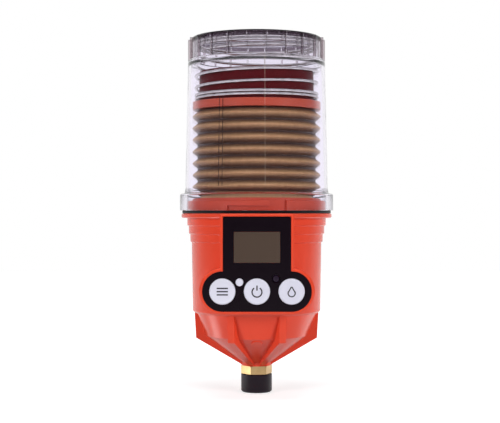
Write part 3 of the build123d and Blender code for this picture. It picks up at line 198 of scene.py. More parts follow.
# Dust: a thin pale film that settles on what faces up and fades out in patches.
dust, taken, given = effect("settled_dust", [
    ("Colour", "NodeSocketColor", (0.5, 0.5, 0.5, 1)),
    ("Dust colour", "NodeSocketColor", (0.62, 0.58, 0.54, 1)),
    ("Amount", "NodeSocketFloat", 0.10),
], [("Colour", "NodeSocketColor")])
facing = add_node(dust, "NewGeometry")
upward = add_node(dust, "SeparateXYZ")
level = add_node(dust, "MapRange", {"From Min": 0.55, "From Max": 0.98})
place = add_node(dust, "TexCoord")
patches = add_node(dust, "TexNoise", {"Scale": 140, "Detail": 4})
thick = add_node(dust, "Math", operation="MULTIPLY")
share = add_node(dust, "Math", operation="MULTIPLY")
film = add_node(dust, "Mix", data_type="RGBA")
wire(dust,
     (facing, "Normal", upward, "Vector"),
     (upward, "Z", level, "Value"),
     (place, "Object", patches, "Vector"),
     (level, "Result", thick, 0),
     (patches, "Fac", thick, 1),
     (thick, 0, share, 0),
     (taken, "Amount", share, 1),
     (share, 0, film, "Factor"),
     (taken, "Colour", film, "A"),
     (taken, "Dust colour", film, "B"),
     (film, "Result", given, "Colour"))


def moulding(name, colour, flow_colour, gloss=0.3, grain=2600.0, depth=0.00002, flow=0.3,
             dusty=0.12, coat=0.0, shine=0.5):
    """A moulded plastic: its colour with flow marks, fine tool texture and a trace of dust."""
    finish, tree, shader = blank_material(name, {
        "IOR": 1.5, "Coat Weight": coat, "Coat Roughness": 0.15, "Specular IOR Level": shine})
    surface = add_node(tree, "Group", {
        "Colour": paint(colour), "Flow colour": paint(flow_colour), "Flow": flow,
        "Gloss": gloss, "Texture per metre": grain}, node_tree=skin)
    settled = add_node(tree, "Group", {"Amount": dusty}, node_tree=dust)
    bump = add_node(tree, "Bump", {"Distance": depth})
    wire(tree,
         (surface, "Colour", settled, "Colour"),
         (settled, "Colour", shader, "Base Color"),
         (surface, "Roughness", shader, "Roughness"),
         (surface, "Height", bump, "Height"),
         (bump, "Normal", shader, "Normal"))
    return finish


def finished(piece, material, body):
    """The piece in its material, moving with its body."""
    dress(piece, material)
    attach(piece, body)


housing_red = moulding("housing_red", "e0472c", "d94029", gloss=0.20, depth=0.000008, flow=0.5,
                       shine=0.3)
housing = cast_from("main_housing", "housing_moulding")

# The foot of the front post inside comes through the wall, so it is dressed flush outside.
foot_half_width, foot_bottom, foot_top = 0.0034, 0.0299, 0.0339
recess_y, recess_z, recess_slope, recess_curve = -0.0320, 0.0242, 0.392, 15.4
for vertex in housing.data.vertices:
    across, out, high = vertex.co
    face = recess_y - recess_slope * (high - recess_z) + recess_curve * across * across
    if abs(across) < foot_half_width and foot_bottom < high < foot_top and out < face:
        vertex.co.y = face
pick_up(housing)
bpy.ops.object.mode_set(mode="EDIT")
bpy.ops.mesh.select_all(action="SELECT")
bpy.ops.mesh.dissolve_degenerate(threshold=1e-5)
bpy.ops.object.mode_set(mode="OBJECT")
break_edges(housing, 0.0003)
finished(housing, housing_red, "housing")


# ---------------------------------------------------------------- deck and bayonet neck
# The separate lid of the housing, moulded in the same red, here painted darker as painted shade
# under the clear cover: a disc screwed down inside the flange, with the grooved neck that the
# clear cover turns on to.
# Painted shade: a darker copy of the housing's red.
deck_shaded_red = moulding("deck_shaded_red", "c5452f", "b23a28", gloss=0.34, dusty=0.05)
dress(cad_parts["deck"], deck_shaded_red)


# ---------------------------------------------------------------- cover gasket
# A flat ring of black rubber with rounded edges. It lies on the housing's flange, round the
# neck, and the clear cover presses it down when it is turned home.
def turned(name, outline, steps=160, closed=True):
    """A turned form: the outline drawn in (radius, height) points, then spun round the axis."""
    set_down()
    bpy.ops.mesh.primitive_plane_add(size=0.001, location=(0, 0, 0))
    piece = bpy.context.object
    piece.name = name
    bpy.ops.object.mode_set(mode="EDIT")
    bpy.ops.mesh.merge(type="CENTER")
    bpy.ops.transform.translate(value=(outline[0][0], 0, outline[0][1]))
    path = list(outline) + ([outline[0]] if closed else [])
    for (r0, z0), (r1, z1) in zip(path, path[1:]):
        step = {"value": (r1 - r0, 0, z1 - z0)}
        bpy.ops.mesh.extrude_region_move(TRANSFORM_OT_translate=step)
    bpy.ops.mesh.select_all(action="SELECT")
    bpy.ops.mesh.spin(steps=steps, angle=2 * math.pi, center=(0, 0, 0), axis=(0, 0, 1))
    bpy.ops.mesh.select_all(action="SELECT")
    bpy.ops.mesh.remove_doubles(threshold=1e-6)
    bpy.ops.mesh.normals_make_consistent(inside=False)
    bpy.ops.object.mode_set(mode="OBJECT")
    bpy.ops.object.shade_smooth_by_angle(angle=math.radians(30))
    return piece


seal_inside, seal_outside, seal_bottom, seal_top = 0.0436, 0.0465, 0.1002, 0.1020
seal_rubber = moulding("seal_rubber", "101014", "191920", gloss=0.5, grain=1500.0,
                       depth=0.00004, dusty=0.05, shine=0.3)
gasket = turned("gasket_ring", [(seal_inside, seal_bottom), (seal_outside, seal_bottom),
                                (seal_outside, seal_top), (seal_inside, seal_top)])
break_edges(gasket, 0.0005, 3)
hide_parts("cover_seal")
finished(gasket, seal_rubber, "housing")


# ---------------------------------------------------------------- clear cover
# A deep cup of clear plastic: flange and shoulder below, slightly tapered tube, and a crown
# with thin gripping ribs round it. It turns on to the neck by three lugs inside its foot,
# which are not drawn here.
def clear_plastic(name, colour, roughness, tint_colour, edge_shade_colour=None, edge_at=(0.7, 0.97)):
    """Clear plastic that lets lamplight through. Seen edge-on, its colour is painted darker
    toward the edge colour, as painted shade.
    """
    finish, tree, shader = blank_material(name, {
        "Transmission Weight": 1.0, "IOR": 1.45, "Roughness": roughness})
    surface = add_node(tree, "Group", {
        "Colour": paint(colour), "Flow colour": paint(tint_colour), "Flow": 0.5,
        "Texture per metre": 60.0}, node_tree=skin)
    waves = add_node(tree, "Bump", {"Distance": 0.00005})
    ray = add_node(tree, "LightPath")
    passing = add_node(tree, "Math", operation="MAXIMUM")
    solid = add_node(tree, "Math", {1: -0.88, 2: 1.0}, operation="MULTIPLY_ADD")
    wire(tree,
         (ray, "Is Shadow Ray", passing, 0),
         (ray, "Is Diffuse Ray", passing, 1),
         (passing, 0, solid, 0),
         (solid, 0, shader, "Alpha"),
         (surface, "Colour", shader, "Base Color"),
         (surface, "Height", waves, "Height"),
         (waves, "Normal", shader, "Normal"))
    if edge_shade_colour:
        slant = add_node(tree, "LayerWeight", {"Blend": 0.5})
        along = add_node(tree, "MapRange", {"From Min": edge_at[0], "From Max": edge_at[1]})
        edge_shaded = add_node(tree, "Mix", {"B": paint(edge_shade_colour)}, data_type="RGBA")
        wire(tree,
             (slant, "Facing", along, "Value"),
             (along, "Result", edge_shaded, "Factor"),
             (surface, "Colour", edge_shaded, "A"),
             (edge_shaded, "Result", shader, "Base Color"))
    return finish


cover_clear = clear_plastic("cover_clear", "faf7ff", 0.02, "f5f1fd")
# Painted shade: the edge, rim and rib finishes are this clear plastic painted darker.
cover_edge_shade = clear_plastic("cover_edge_shade", "f8f5fd", 0.02, "f2eefa", "2a1a30", (0.58, 0.90))
cover_rib_shade = clear_plastic("cover_rib_shade", "ccc2c6", 0.04, "c2b7bb")
cover_rim_shade = clear_plastic("cover_rim_shade", "3a2e38", 0.05, "2c222a")
skirt_r, flange_r, base_r, tube_r, crown_r, wall = 0.0439, 0.0480, 0.0446, 0.0429, 0.0410, 0.0019
flange_z, shoulder_z, tube_z, rim_low, top_z = 0.1124, 0.1158, 0.1959, 0.2068, 0.2101
flange_cut, shoulder_rise, tube_cut, crown_cut = 0.0006, 0.0004, 0.0005, 0.0009
cover = turned("cover_shell", [
    (skirt_r, seal_top), (flange_r, seal_top), (flange_r, flange_z - flange_cut),
    (flange_r - flange_cut, flange_z), (base_r + flange_cut, flange_z + shoulder_rise),
    (base_r, shoulder_z), (tube_r, tube_z - tube_cut), (tube_r - tube_cut, tube_z),
    (crown_r, tube_z), (crown_r, rim_low), (crown_r, top_z - crown_cut),
    (crown_r - crown_cut, top_z), (0.0, top_z), (0.0, top_z - wall),
    (crown_r - wall, top_z - wall), (crown_r - wall, tube_z - wall),
    (tube_r - wall, tube_z - 2 * wall), (base_r - wall, shoulder_z),
    (skirt_r, flange_z - wall / 2)], steps=180)
break_edges(cover, 0.00035, angle=25)
rib_count, rib_width, rib_root = 22, 0.0008, crown_r - 0.0004
rib_low, rib_high = tube_z - 0.0002, top_z - 0.0010
reach = (rib_root + tube_r) / 2
for rib in range(rib_count):
    angle = 2 * math.pi * (rib + 0.5) / rib_count - math.pi / 2
    set_down()
    bpy.ops.mesh.primitive_cube_add(
        size=1, rotation=(0, 0, angle), scale=(tube_r - rib_root, rib_width, rib_high - rib_low),
        location=(reach * math.cos(angle), reach * math.sin(angle), (rib_low + rib_high) / 2))
    bar = bpy.context.object
    bpy.ops.object.transform_apply(location=True, rotation=True, scale=True)
    break_edges(bar, 0.00015, 1)
    if rib == 0:
        ribs = bar
        continue
    ribs.select_set(True)
    bpy.context.view_layer.objects.active = ribs
    bpy.ops.object.join()
pick_up(cover)
grown = cover.modifiers.new("ribs", "BOOLEAN")
grown.operation = "UNION"
grown.solver = "EXACT"
grown.object = ribs
bpy.ops.object.modifier_apply(modifier=grown.name)
bpy.data.objects.remove(ribs)
bpy.ops.object.shade_smooth_by_angle(angle=math.radians(25))
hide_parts("clear_cover")
finished(cover, cover_clear, "cover")
for material in (cover_edge_shade, cover_rim_shade, cover_rib_shade):
    cover.data.materials.append(material)

# Painted shade: the crown's outer corner is painted darkest, then its ribs; the flange and the
# crown's faces are painted darker where they are seen edge-on.
edge_shade_slot, rim_shade_slot, rib_shade_slot = 1, 2, 3
for face in cover.data.polygons:
    middle = face.center
    out = math.hypot(middle.x, middle.y)
    spoke = abs(face.normal.x * middle.y - face.normal.y * middle.x) / max(out, 1e-6)
    if middle.z > rim_low and out > crown_r - 0.0012 and face.normal.z < 0.9:
        face.material_index = rim_shade_slot
    elif middle.z > tube_z and out > crown_r + 0.0001 and spoke > 0.7:
        face.material_index = rib_shade_slot
    elif middle.z > tube_z - 0.0008 or middle.z < shoulder_z:
        face.material_index = edge_shade_slot

# Two fine dark upright lines laid in the tube's wall, and one pale line at the parting line that
# is a painted highlight.
line_depth, line_inset, line_low = 0.00008, 0.00002, shoulder_z + 0.001
lean = (base_r - tube_r) / (tube_z - shoulder_z)
upright_lines = [
    # name, degrees round from the front, width, upper end, colour
    ("cover_line_left", -31.0, 0.00045, tube_z - 0.026, "1e1014"),
    ("cover_line_right", -27.8, 0.00045, tube_z - 0.026, "1e1014"),
    # the pale line along the parting line is a painted highlight
    ("cover_parting_highlight", 6.3, 0.00012, tube_z - 0.001, "b9a99c"),
]
for name, turn, width, line_high, shade in upright_lines:
    set_down()
    bpy.ops.mesh.primitive_cube_add(size=1, location=(0, 0, 0), scale=(width, line_depth, 1))
    strip = bpy.context.object
    strip.name = name
    bpy.ops.object.transform_apply(location=True, rotation=True, scale=True)
    around = math.radians(turn)
    for vertex in strip.data.vertices:
        height = line_low if vertex.co.z < 0 else line_high
        out = base_r - lean * (height - shoulder_z) - line_inset - vertex.co.y
        side = vertex.co.x
        vertex.co = (out * math.sin(around) + side * math.cos(around),
                     -out * math.cos(around) + side * math.sin(around), height)
    break_edges(strip, 0.00003, 1)
    finished(strip, moulding(name + "_ink", shade, shade, gloss=0.4, dusty=0.0), "cover")


# ---------------------------------------------------------------- pouch collar
# The foot of the grease pouch, moulded in red plastic, with the lip that rests on the neck.
# The pouch is welded to it, and its nozzle pushes down into the deck.
collar_red = moulding("collar_red", "c04a34", "ad3f2c", gloss=0.32, dusty=0.05)
collar = cast_from("pouch_collar", "collar_moulding", 0.0002)
finished(collar, collar_red, "housing")


# ---------------------------------------------------------------- grease pouch
# A folded film pouch, full of tan grease: seven soft folds, with a painted highlight on each
# fold's tip and painted shade in the creases between them.
pouch_bottom, fold_pitch, folds, pouch_top = 0.1099, 0.00725, 7, 0.1645
tip_r, root_r, neck_r, first_root = 0.0402, 0.0369, 0.0353, 0.1132
fold_form = [               # share of the way up a fold, share of the way out to its tip
    (0.12, 0.10), (0.27, 0.52), (0.40, 0.86), (0.50, 1.0), (0.60, 0.86), (0.73, 0.52),
    (0.88, 0.10), (1.0, 0.0)]
outline = [(0.0, pouch_bottom), (neck_r, pouch_bottom), (neck_r, first_root - 0.0012),
           (root_r, first_root)]
for fold in range(folds):
    root_z = first_root + fold_pitch * fold
    for share, out in fold_form:
        outline.append((root_r + (tip_r - root_r) * out, root_z + fold_pitch * share))
outline += [(neck_r, min(root_z + fold_pitch + 0.0004, pouch_top - 0.0002)),
            (neck_r - 0.001, pouch_top), (0.0, pouch_top)]
pouch = turned("grease_pouch", outline, steps=200, closed=False)
pick_up(pouch)
swell = bpy.data.textures.new("pouch_swell", "CLOUDS")
swell.noise_scale = 0.022
swell.noise_depth = 1
slack = pouch.modifiers.new("slack", "DISPLACE")
slack.texture = swell
slack.texture_coords = "LOCAL"
slack.direction = "Z"
slack.mid_level = 0.5
slack.strength = 0.0008
folds_only = pouch.vertex_groups.new(name="folds")
folds_only.add([v.index for v in pouch.data.vertices
                if pouch_bottom + 0.002 < v.co.z < pouch_top - 0.002], 1.0, "REPLACE")
slack.vertex_group = folds_only.name
bpy.ops.object.modifier_apply(modifier=slack.name)
bpy.ops.object.shade_smooth_by_angle(angle=math.radians(60))

pouch_film, tree, shader = blank_material("pouch_film", {
    "Coat Weight": 0.08, "Coat Roughness": 0.35, "Specular IOR Level": 0.35})
place = add_node(tree, "TexCoord")
axes = add_node(tree, "SeparateXYZ")
turns = add_node(tree, "Math", {
    1: 1 / fold_pitch, 2: -first_root / fold_pitch}, operation="MULTIPLY_ADD")
within = add_node(tree, "Math", operation="FRACT")
# Painted light: dark painted shade in each crease, rising to a painted highlight on each fold's
# tip.
shade = add_node(tree, "ValToRGB")
for end in shade.color_ramp.elements:
    end.color = paint("2e1a12")
for position, code in ((0.13, "4a2e20"), (0.30, "856450"), (0.45, "b8916c"), (0.60, "cfa57b"),
                       (0.74, "b5916c"), (0.88, "6e503c")):
    stop = shade.color_ramp.elements.new(position)
    stop.color = paint(code)
creases = add_node(tree, "TexNoise", {"Scale": 1.0, "Detail": 4})
upright = add_node(tree, "Mapping", {"Scale": (420, 420, 110)})
mottle = add_node(tree, "Mix", {"B": paint("c9bcae")}, data_type="RGBA", blend_type="MULTIPLY")
bump = add_node(tree, "Bump", {"Distance": 0.00018})
gloss = add_node(tree, "MapRange", {"To Min": 0.34, "To Max": 0.55})
wire(tree,
     (place, "Object", axes, "Vector"),
     (axes, "Z", turns, 0),
     (turns, 0, within, 0),
     (within, 0, shade, "Fac"),
     (place, "Object", upright, "Vector"),
     (upright, "Vector", creases, "Vector"),
     (creases, "Fac", mottle, "Factor"),
     (shade, "Color", mottle, "A"),
     (mottle, "Result", shader, "Base Color"),
     (creases, "Fac", bump, "Height"),
     (bump, "Normal", shader, "Normal"),
     (creases, "Fac", gloss, "Value"),
     (gloss, "Result", shader, "Roughness"))
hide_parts("grease_bellows")
finished(pouch, pouch_film, "housing")
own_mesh(pouch)


# ---------------------------------------------------------------- pusher
# A red moulded plate that lies on the pouch and slides down in the clear tube. The cup on its
# top guides the spring from inside; it is painted a darker red, as painted shade inside the coil.
pusher_red = moulding("pusher_red", "b84830", "a33c28", gloss=0.3, dusty=0.04)
cup_shaded_red = moulding("cup_shaded_red", "560810", "48060e", gloss=0.40, dusty=0.0, shine=0.1)
plate_r, plate_top, cup_r, rim_z, cup_wall = 0.0401, 0.1695, 0.0360, 0.1885, 0.0020
pusher = turned("pusher_plate", [
    (0.0, pouch_top), (plate_r, pouch_top), (plate_r, plate_top), (cup_r, plate_top),
    (cup_r - 0.0004, rim_z), (cup_r - cup_wall, rim_z), (cup_r - cup_wall, pouch_top + cup_wall),
    (0.0, pouch_top + cup_wall)], closed=False)
break_edges(pusher, 0.0005, 3)
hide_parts("pusher")
finished(pusher, pusher_red, "pusher")
pusher.data.materials.append(cup_shaded_red)
# Painted shade: the faces above the plate take the darker cup red.
for face in pusher.data.polygons:
    face.material_index = int(face.center.z > plate_top + 0.0001)


# ---------------------------------------------------------------- pusher spring
# A compression spring of bright drawn wire, its end turns wound close, set between the pusher's
# plate and the inside of the cover's top.
spring_r, wire_r, close_pitch, close_turns, open_turns = 0.0380, 0.00095, 0.00205, 2, 4
spring_bottom, spring_top = plate_top + wire_r, top_z - wall - wire_r
open_pitch = (spring_top - spring_bottom - 2 * close_turns * close_pitch) / open_turns
winding = bpy.data.curves.new("spring_winding", "CURVE")
winding.dimensions = "3D"
winding.bevel_depth = wire_r
winding.bevel_resolution = 3
steps_per_turn = 60
heights, height = [spring_bottom], spring_bottom
for turns_here, pitch in ((close_turns, close_pitch), (open_turns, open_pitch),
                          (close_turns, close_pitch)):
    for step in range(turns_here * steps_per_turn):
        height += pitch / steps_per_turn
        heights.append(height)
line = winding.splines.new("POLY")
line.points.add(len(heights) - 1)
for step, z in enumerate(heights):
    angle = 2 * math.pi * step / steps_per_turn
    line.points[step].co = (spring_r * math.cos(angle), spring_r * math.sin(angle), z, 1)
winding.use_fill_caps = True
spring = bpy.data.objects.new("pusher_coil", winding)
bpy.context.scene.collection.objects.link(spring)
pick_up(spring)
bpy.ops.object.convert(target="MESH")
spring = bpy.context.object
bpy.ops.object.shade_smooth_by_angle(angle=math.radians(40))

# Drawn and turned metal: fine lines one way, with faint stains in the brightness.
lines, taken, given = effect("drawn_lines", [
    ("Colour", "NodeSocketColor", (0.5, 0.5, 0.5, 1)),
    ("Stain", "NodeSocketColor", (0.3, 0.3, 0.3, 1)),
    ("Gloss", "NodeSocketFloat", 0.25),
    ("Across", "NodeSocketVector", (0.0, 0.0, 4000.0)),
], [("Colour", "NodeSocketColor"), ("Roughness", "NodeSocketFloat"),
    ("Height", "NodeSocketFloat")])
place = add_node(lines, "TexCoord")
scaled = add_node(lines, "VectorMath", operation="MULTIPLY")
marks = add_node(lines, "TexNoise", {"Scale": 1.0, "Detail": 3})
stains = add_node(lines, "TexNoise", {"Scale": 180, "Detail": 4})
spots = add_node(lines, "MapRange", {"From Min": 0.45, "From Max": 0.75, "To Max": 0.5})
blend = add_node(lines, "Mix", data_type="RGBA")
rough = add_node(lines, "Math", {1: 0.18}, operation="MULTIPLY_ADD")
wire(lines,
     (place, "Object", scaled, 0),
     (taken, "Across", scaled, 1),
     (scaled, "Vector", marks, "Vector"),
     (place, "Object", stains, "Vector"),
     (stains, "Fac", spots, "Value"),
     (spots, "Result", blend, "Factor"),
     (taken, "Colour", blend, "A"),
     (taken, "Stain", blend, "B"),
     (marks, "Fac", rough, 0),
     (taken, "Gloss", rough, 2),
     (blend, "Result", given, "Colour"),
     (rough, 0, given, "Roughness"),
     (marks, "Fac", given, "Height"))


def metal(name, colour, stain, gloss=0.2, across=(300.0, 300.0, 4000.0), depth=0.00001):
    """A bare metal with tool or drawing lines."""
    finish, tree, shader = blank_material(name, {"Metallic": 1.0})
    surface = add_node(tree, "Group", {
        "Colour": paint(colour), "Stain": paint(stain), "Gloss": gloss,
        "Across": across}, node_tree=lines)
    bump = add_node(tree, "Bump", {"Distance": depth})
    wire(tree,
         (surface, "Colour", shader, "Base Color"),
         (surface, "Roughness", shader, "Roughness"),
         (surface, "Height", bump, "Height"),
         (bump, "Normal", shader, "Normal"))
    return finish


spring_steel = metal("spring_steel", "c4c2bf", "8d8a88", gloss=0.12, across=(300.0, 300.0, 300.0),
                     depth=0.000001)
dress(spring, spring_steel)
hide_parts("pusher_spring")
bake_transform(spring)


# ---------------------------------------------------------------- keypad panel
# A black moulded plate, printed matt, let into the boss: an upright field for the display
# standing on a wide rounded field for the keys.
panel_black = moulding("panel_black", "0c020a", "110512", gloss=0.24, grain=3200.0, dusty=0.0,
                       shine=0.25)
panel = cast_from("keypad_panel", "keypad_plate", 0.00015)
finished(panel, panel_black, "housing")


# ---------------------------------------------------------------- keys
# Round pale keys with a shallow dished face and a rounded rim, each in its own hole, with its
# sign printed in dark ink. The flange and the stem behind each cap are not drawn here.
key_white = moulding("key_white", "dcdbe8", "c9c8d8", gloss=0.36, grain=900.0, flow=0.8,
                     depth=0.00003, dusty=0.0)
sign_ink = moulding("sign_ink", "2b2530", "3a3340", gloss=0.5, dusty=0.0)
key_face, key_seat, key_dish = -0.0488, -0.0449, 0.00035
sign_depth, ink_thick = 0.00033, 0.00005


def key_cap(name, radius, x, z, dish):
    """A key's cap, turned about its own middle and laid facing forward."""
    depth = key_seat - key_face
    cap = turned(name, [(0.0, depth - dish), (radius * 0.66, depth - dish),
                        (radius * 0.84, depth - dish * 0.3), (radius * 0.93, depth),
                        (radius, depth - 0.0004), (radius, 0.0), (0.0, 0.0)],
                 steps=96, closed=False)
    cap.rotation_euler = (math.radians(90), 0, 0)
    cap.location = (x, key_seat, z)
    bpy.ops.object.transform_apply(location=True, rotation=True, scale=True)
    break_edges(cap, 0.00015, angle=35)
    return cap


def printed(name, parts, x, z, depth):
    """A sign printed on a key: thin bars and arcs, each (kind, numbers), laid on its face."""
    made = []
    for kind, *size in parts:
        set_down()
        if kind == "bar":
            cx, cz, width, height, turn = size
            bpy.ops.mesh.primitive_cube_add(size=1, location=(x + cx, depth, z + cz),
                                            rotation=(0, -turn, 0),
                                            scale=(width, ink_thick, height))
        else:
            cx, cz, radius, thick, start, arc = size
            bpy.ops.mesh.primitive_plane_add(
                size=1, location=(x + cx + radius * math.cos(start), depth,
                                  z + cz + radius * math.sin(start)),
                rotation=(0, -start, 0))
            bpy.context.object.scale = (thick, ink_thick, 1)
            bpy.ops.object.transform_apply(location=True, rotation=True, scale=True)
            bpy.ops.object.mode_set(mode="EDIT")
            bpy.ops.mesh.select_all(action="SELECT")
            bpy.ops.mesh.spin(steps=28, angle=arc, center=(x + cx, depth, z + cz),
                              axis=(0, 1, 0))
            bpy.ops.mesh.select_all(action="SELECT")
            bpy.ops.mesh.remove_doubles(threshold=1e-7)
            bpy.ops.mesh.normals_make_consistent(inside=False)
            bpy.ops.object.mode_set(mode="OBJECT")
        mark = bpy.context.object
        bpy.ops.object.transform_apply(location=True, rotation=True, scale=True)
        made.append(mark)
    set_down()
    for mark in made:
        mark.select_set(True)
    bpy.context.view_layer.objects.active = made[0]
    bpy.ops.object.join()
    sign = bpy.context.object
    sign.name = name
    return sign


key_pitch, key_z, key_r = 0.0204, 0.05425, 0.0077
reset_x, reset_z, reset_r = -0.0103, 0.0597, 0.00225
half = math.pi / 2
signs = {
    "mode_key": [("bar", 0, 0.0019, 0.0066, 0.0008, 0), ("bar", 0, 0, 0.0066, 0.0008, 0),
                 ("bar", 0, -0.0019, 0.0066, 0.0008, 0)],
    "power_key": [("arc", 0, -0.0003, 0.0029, 0.0008, half + 0.6, 2 * math.pi - 1.2),
                  ("bar", 0, 0.0021, 0.0008, 0.0030, 0)],
    "test_key": [("arc", 0, -0.0009, 0.0021, 0.0007, -math.pi - 0.45, math.pi + 0.9),
                 ("bar", -0.00105, 0.0012, 0.0007, 0.0038, -0.52),
                 ("bar", 0.00105, 0.0012, 0.0007, 0.0038, 0.52)],
}
for place_on_row, (node, marks_on_key) in enumerate(signs.items()):
    x = key_pitch * (place_on_row - 1)
    cap = key_cap(node + "_cap", key_r, x, key_z, key_dish)
    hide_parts(node)
    finished(cap, key_white, node)
    sign = printed(node + "_sign", marks_on_key, x, key_z, key_face + sign_depth)
    finished(sign, sign_ink, node)
small_cap = key_cap("reset_key_cap", reset_r, reset_x, reset_z, 0.0001)
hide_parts("reset_key")
finished(small_cap, key_white, "reset_key")


# ---------------------------------------------------------------- status lamp
# A small round lens of dark smoked plastic over the light-emitting diode. Its flange holds
# it behind the panel, and its two leads go into the board.
lamp_smoke = moulding("lamp_smoke", "201424", "2a1a2e", gloss=0.25, dusty=0.0, coat=0.2,
                      shine=0.3)
finished(cast_from("status_led", "status_lamp", 0.0001), lamp_smoke, "housing")


# ---------------------------------------------------------------- display
# A window of smoked plastic glued into the panel, its back tinted to the edge, over a liquid
# crystal cell: while the display is off it shows a plain brown-grey face.
window_smoke = moulding("window_smoke", "493b33", "504238", gloss=0.18, grain=400.0,
                        depth=0.000004, flow=0.7, dusty=0.0, shine=0.4)
finished(cast_from("display_window", "window_pane", 0.0001), window_smoke, "housing")
cell_film = moulding("cell_film", "6b5a4a", "75634f", gloss=0.4, grain=5000.0, dusty=0.0)
finished(cast_from("lcd", "display_cell"), cell_film, "housing")


# ---------------------------------------------------------------- outlet fitting
# Turned brass with a hexagon for a spanner, its corners chamfered on the lathe, and a tapered
# pipe thread below that screws into the machine.
brass = metal("turned_brass", "cdae7c", "a88a5c", gloss=0.22, across=(500.0, 500.0, 6000.0))
finished(cast_from("outlet_fitting", "brass_outlet", 0.0002), brass, "housing")


# ---------------------------------------------------------------- outlet cap
# A soft black push-on cap that keeps dirt out of the outlet, moulded in one with the plug in
# its middle. Its side is drawn plain, and its bottom edge is rounded.
cap_black = moulding("cap_black", "100410", "180a16", gloss=0.36, grain=1800.0, dusty=0.0,
                     shine=0.3)
cap_r, cap_bottom, cap_wall, plug_r, plug_top = 0.00985, -0.0116, 0.0015, 0.0030, -0.0057
cap = turned("outlet_cap_moulding", [
    (0.0, cap_bottom), (cap_r - 0.0009, cap_bottom), (cap_r, cap_bottom + 0.0009),
    (cap_r, -0.0004), (cap_r - 0.0002, 0.0), (cap_r - cap_wall, 0.0),
    (cap_r - cap_wall, cap_bottom + cap_wall), (plug_r, cap_bottom + cap_wall),
    (plug_r, plug_top - 0.0004), (plug_r - 0.0004, plug_top), (0.0, plug_top)],
    steps=144, closed=False)
pick_up(cap)
skin_depth = 0.00018        # the whole skin is drawn in by this much from the outline
bpy.ops.object.mode_set(mode="EDIT")
bpy.ops.mesh.select_all(action="SELECT")
bpy.ops.mesh.inset(depth=-skin_depth)
bpy.ops.object.mode_set(mode="OBJECT")
break_edges(cap, 0.0003, 3, angle=40)
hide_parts("outlet_cap")
finished(cap, cap_black, "cap")


# ---------------------------------------------------------------- pieces inside the housing
# What the closed housing hides: the pump and its valve, the cam drive, the chassis, the cells
# and the circuit board. Each keeps the form it has in the frame, in its own finish.
milled, rolled = (2500.0, 400.0, 400.0), (200.0, 3000.0, 3000.0)      # lines along x, y and z
turned_x, turned_z = (9000.0, 300.0, 300.0), (300.0, 300.0, 9000.0)
lapped, stamped = (200.0, 200.0, 200.0), (600.0, 600.0, 600.0)
inner = {
    "nozzle_seal": seal_rubber,
    "deck_screws": metal("screw_steel", "a9abae", "85878a", gloss=0.3),
    "pump_block": metal("pump_metal", "c2c4c7", "9fa1a4", gloss=0.34, across=milled),
    "feed_tube": moulding("tube_nylon", "dcd9c6", "cfcbb4", gloss=0.42, dusty=0.0),
    "check_ball": metal("ball_steel", "cfcfd1", "b9b9bb", gloss=0.06, across=lapped),
    "plunger": metal("ground_steel", "c4c4c6", "a6a6a8", gloss=0.14, across=turned_z),
    "snail_cam": moulding("cam_acetal", "e4e0d2", "d8d3c2", gloss=0.4, dusty=0.0),
    "camshaft": metal("shaft_steel", "bcbcbe", "9a9a9c", gloss=0.16, across=turned_x),
    "cam_gear": moulding("gear_acetal", "e6e3d6", "d6d2c2", gloss=0.42, dusty=0.0),
    "motor_pinion": metal("pinion_brass", "c9a868", "a3854c", gloss=0.24, across=turned_x),
    "gearmotor": metal("motor_can", "a4a6a9", "84868a", gloss=0.26, across=rolled),
    "chassis": moulding("chassis_grey", "3a3a3e", "45454a", gloss=0.48),
    "battery_pack": moulding("cell_sleeve", "2c4a86", "25407a", gloss=0.28, dusty=0.0, coat=0.3),
    "lcd_frame": moulding("frame_black", "1a1a1d", "232327", gloss=0.5, dusty=0.0),
    "circuit_board": moulding("board_green", "1f6a36", "1a5c2e", gloss=0.3, dusty=0.0, coat=0.4),
    "snap_domes": metal("dome_steel", "d2cfc8", "b6b2a8", gloss=0.12, across=stamped),
}
inner["board_screws"] = inner["motor_screws"] = inner["chassis_screws"] = inner["deck_screws"]
inner["motor_shaft"] = inner["camshaft"]
for node, material in inner.items():
    dress(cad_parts[node], material)


# ---------------------------------------------------------------- pump springs
# Two small coils of round steel wire: the upper one at the plunger, which the cam drives
# down, and the lower one at the check ball, which the grease lifts off its seat.
pump_springs = [
    # node, piece, what it moves with, held end, moving end
    ("plunger_spring", "plunger_coil", "plunger", 0.0400, 0.0460),
    ("check_spring", "check_coil", "check_ball", 0.0110, 0.0180),
]
for node, name, moved_by, held_z, moving_z in pump_springs:
    coil = cast_from(node, name)
    dress(coil, spring_steel)
    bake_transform(coil)


# ---------------------------------------------------------------- studio
# A white floor and white air behind, dark cloth above and in front, three softboxes that
# light the surfaces, and two small lamps lying low that only glint on edges and bare metal.
def straight_to_white(tree):
    """The rays for which the white is full: the camera's own, and those that have gone
    straight through both walls of the clear cover."""
    ray = add_node(tree, "LightPath")
    through = add_node(tree, "Math", {1: faces_passed}, operation="GREATER_THAN")
    straight = add_node(tree, "Math", operation="MULTIPLY_ADD")
    wire(tree,
         (ray, "Transmission Depth", through, 0),
         (ray, "Is Transmission Ray", straight, 0),
         (through, 0, straight, 1),
         (ray, "Is Camera Ray", straight, 2))
    return ray, straight


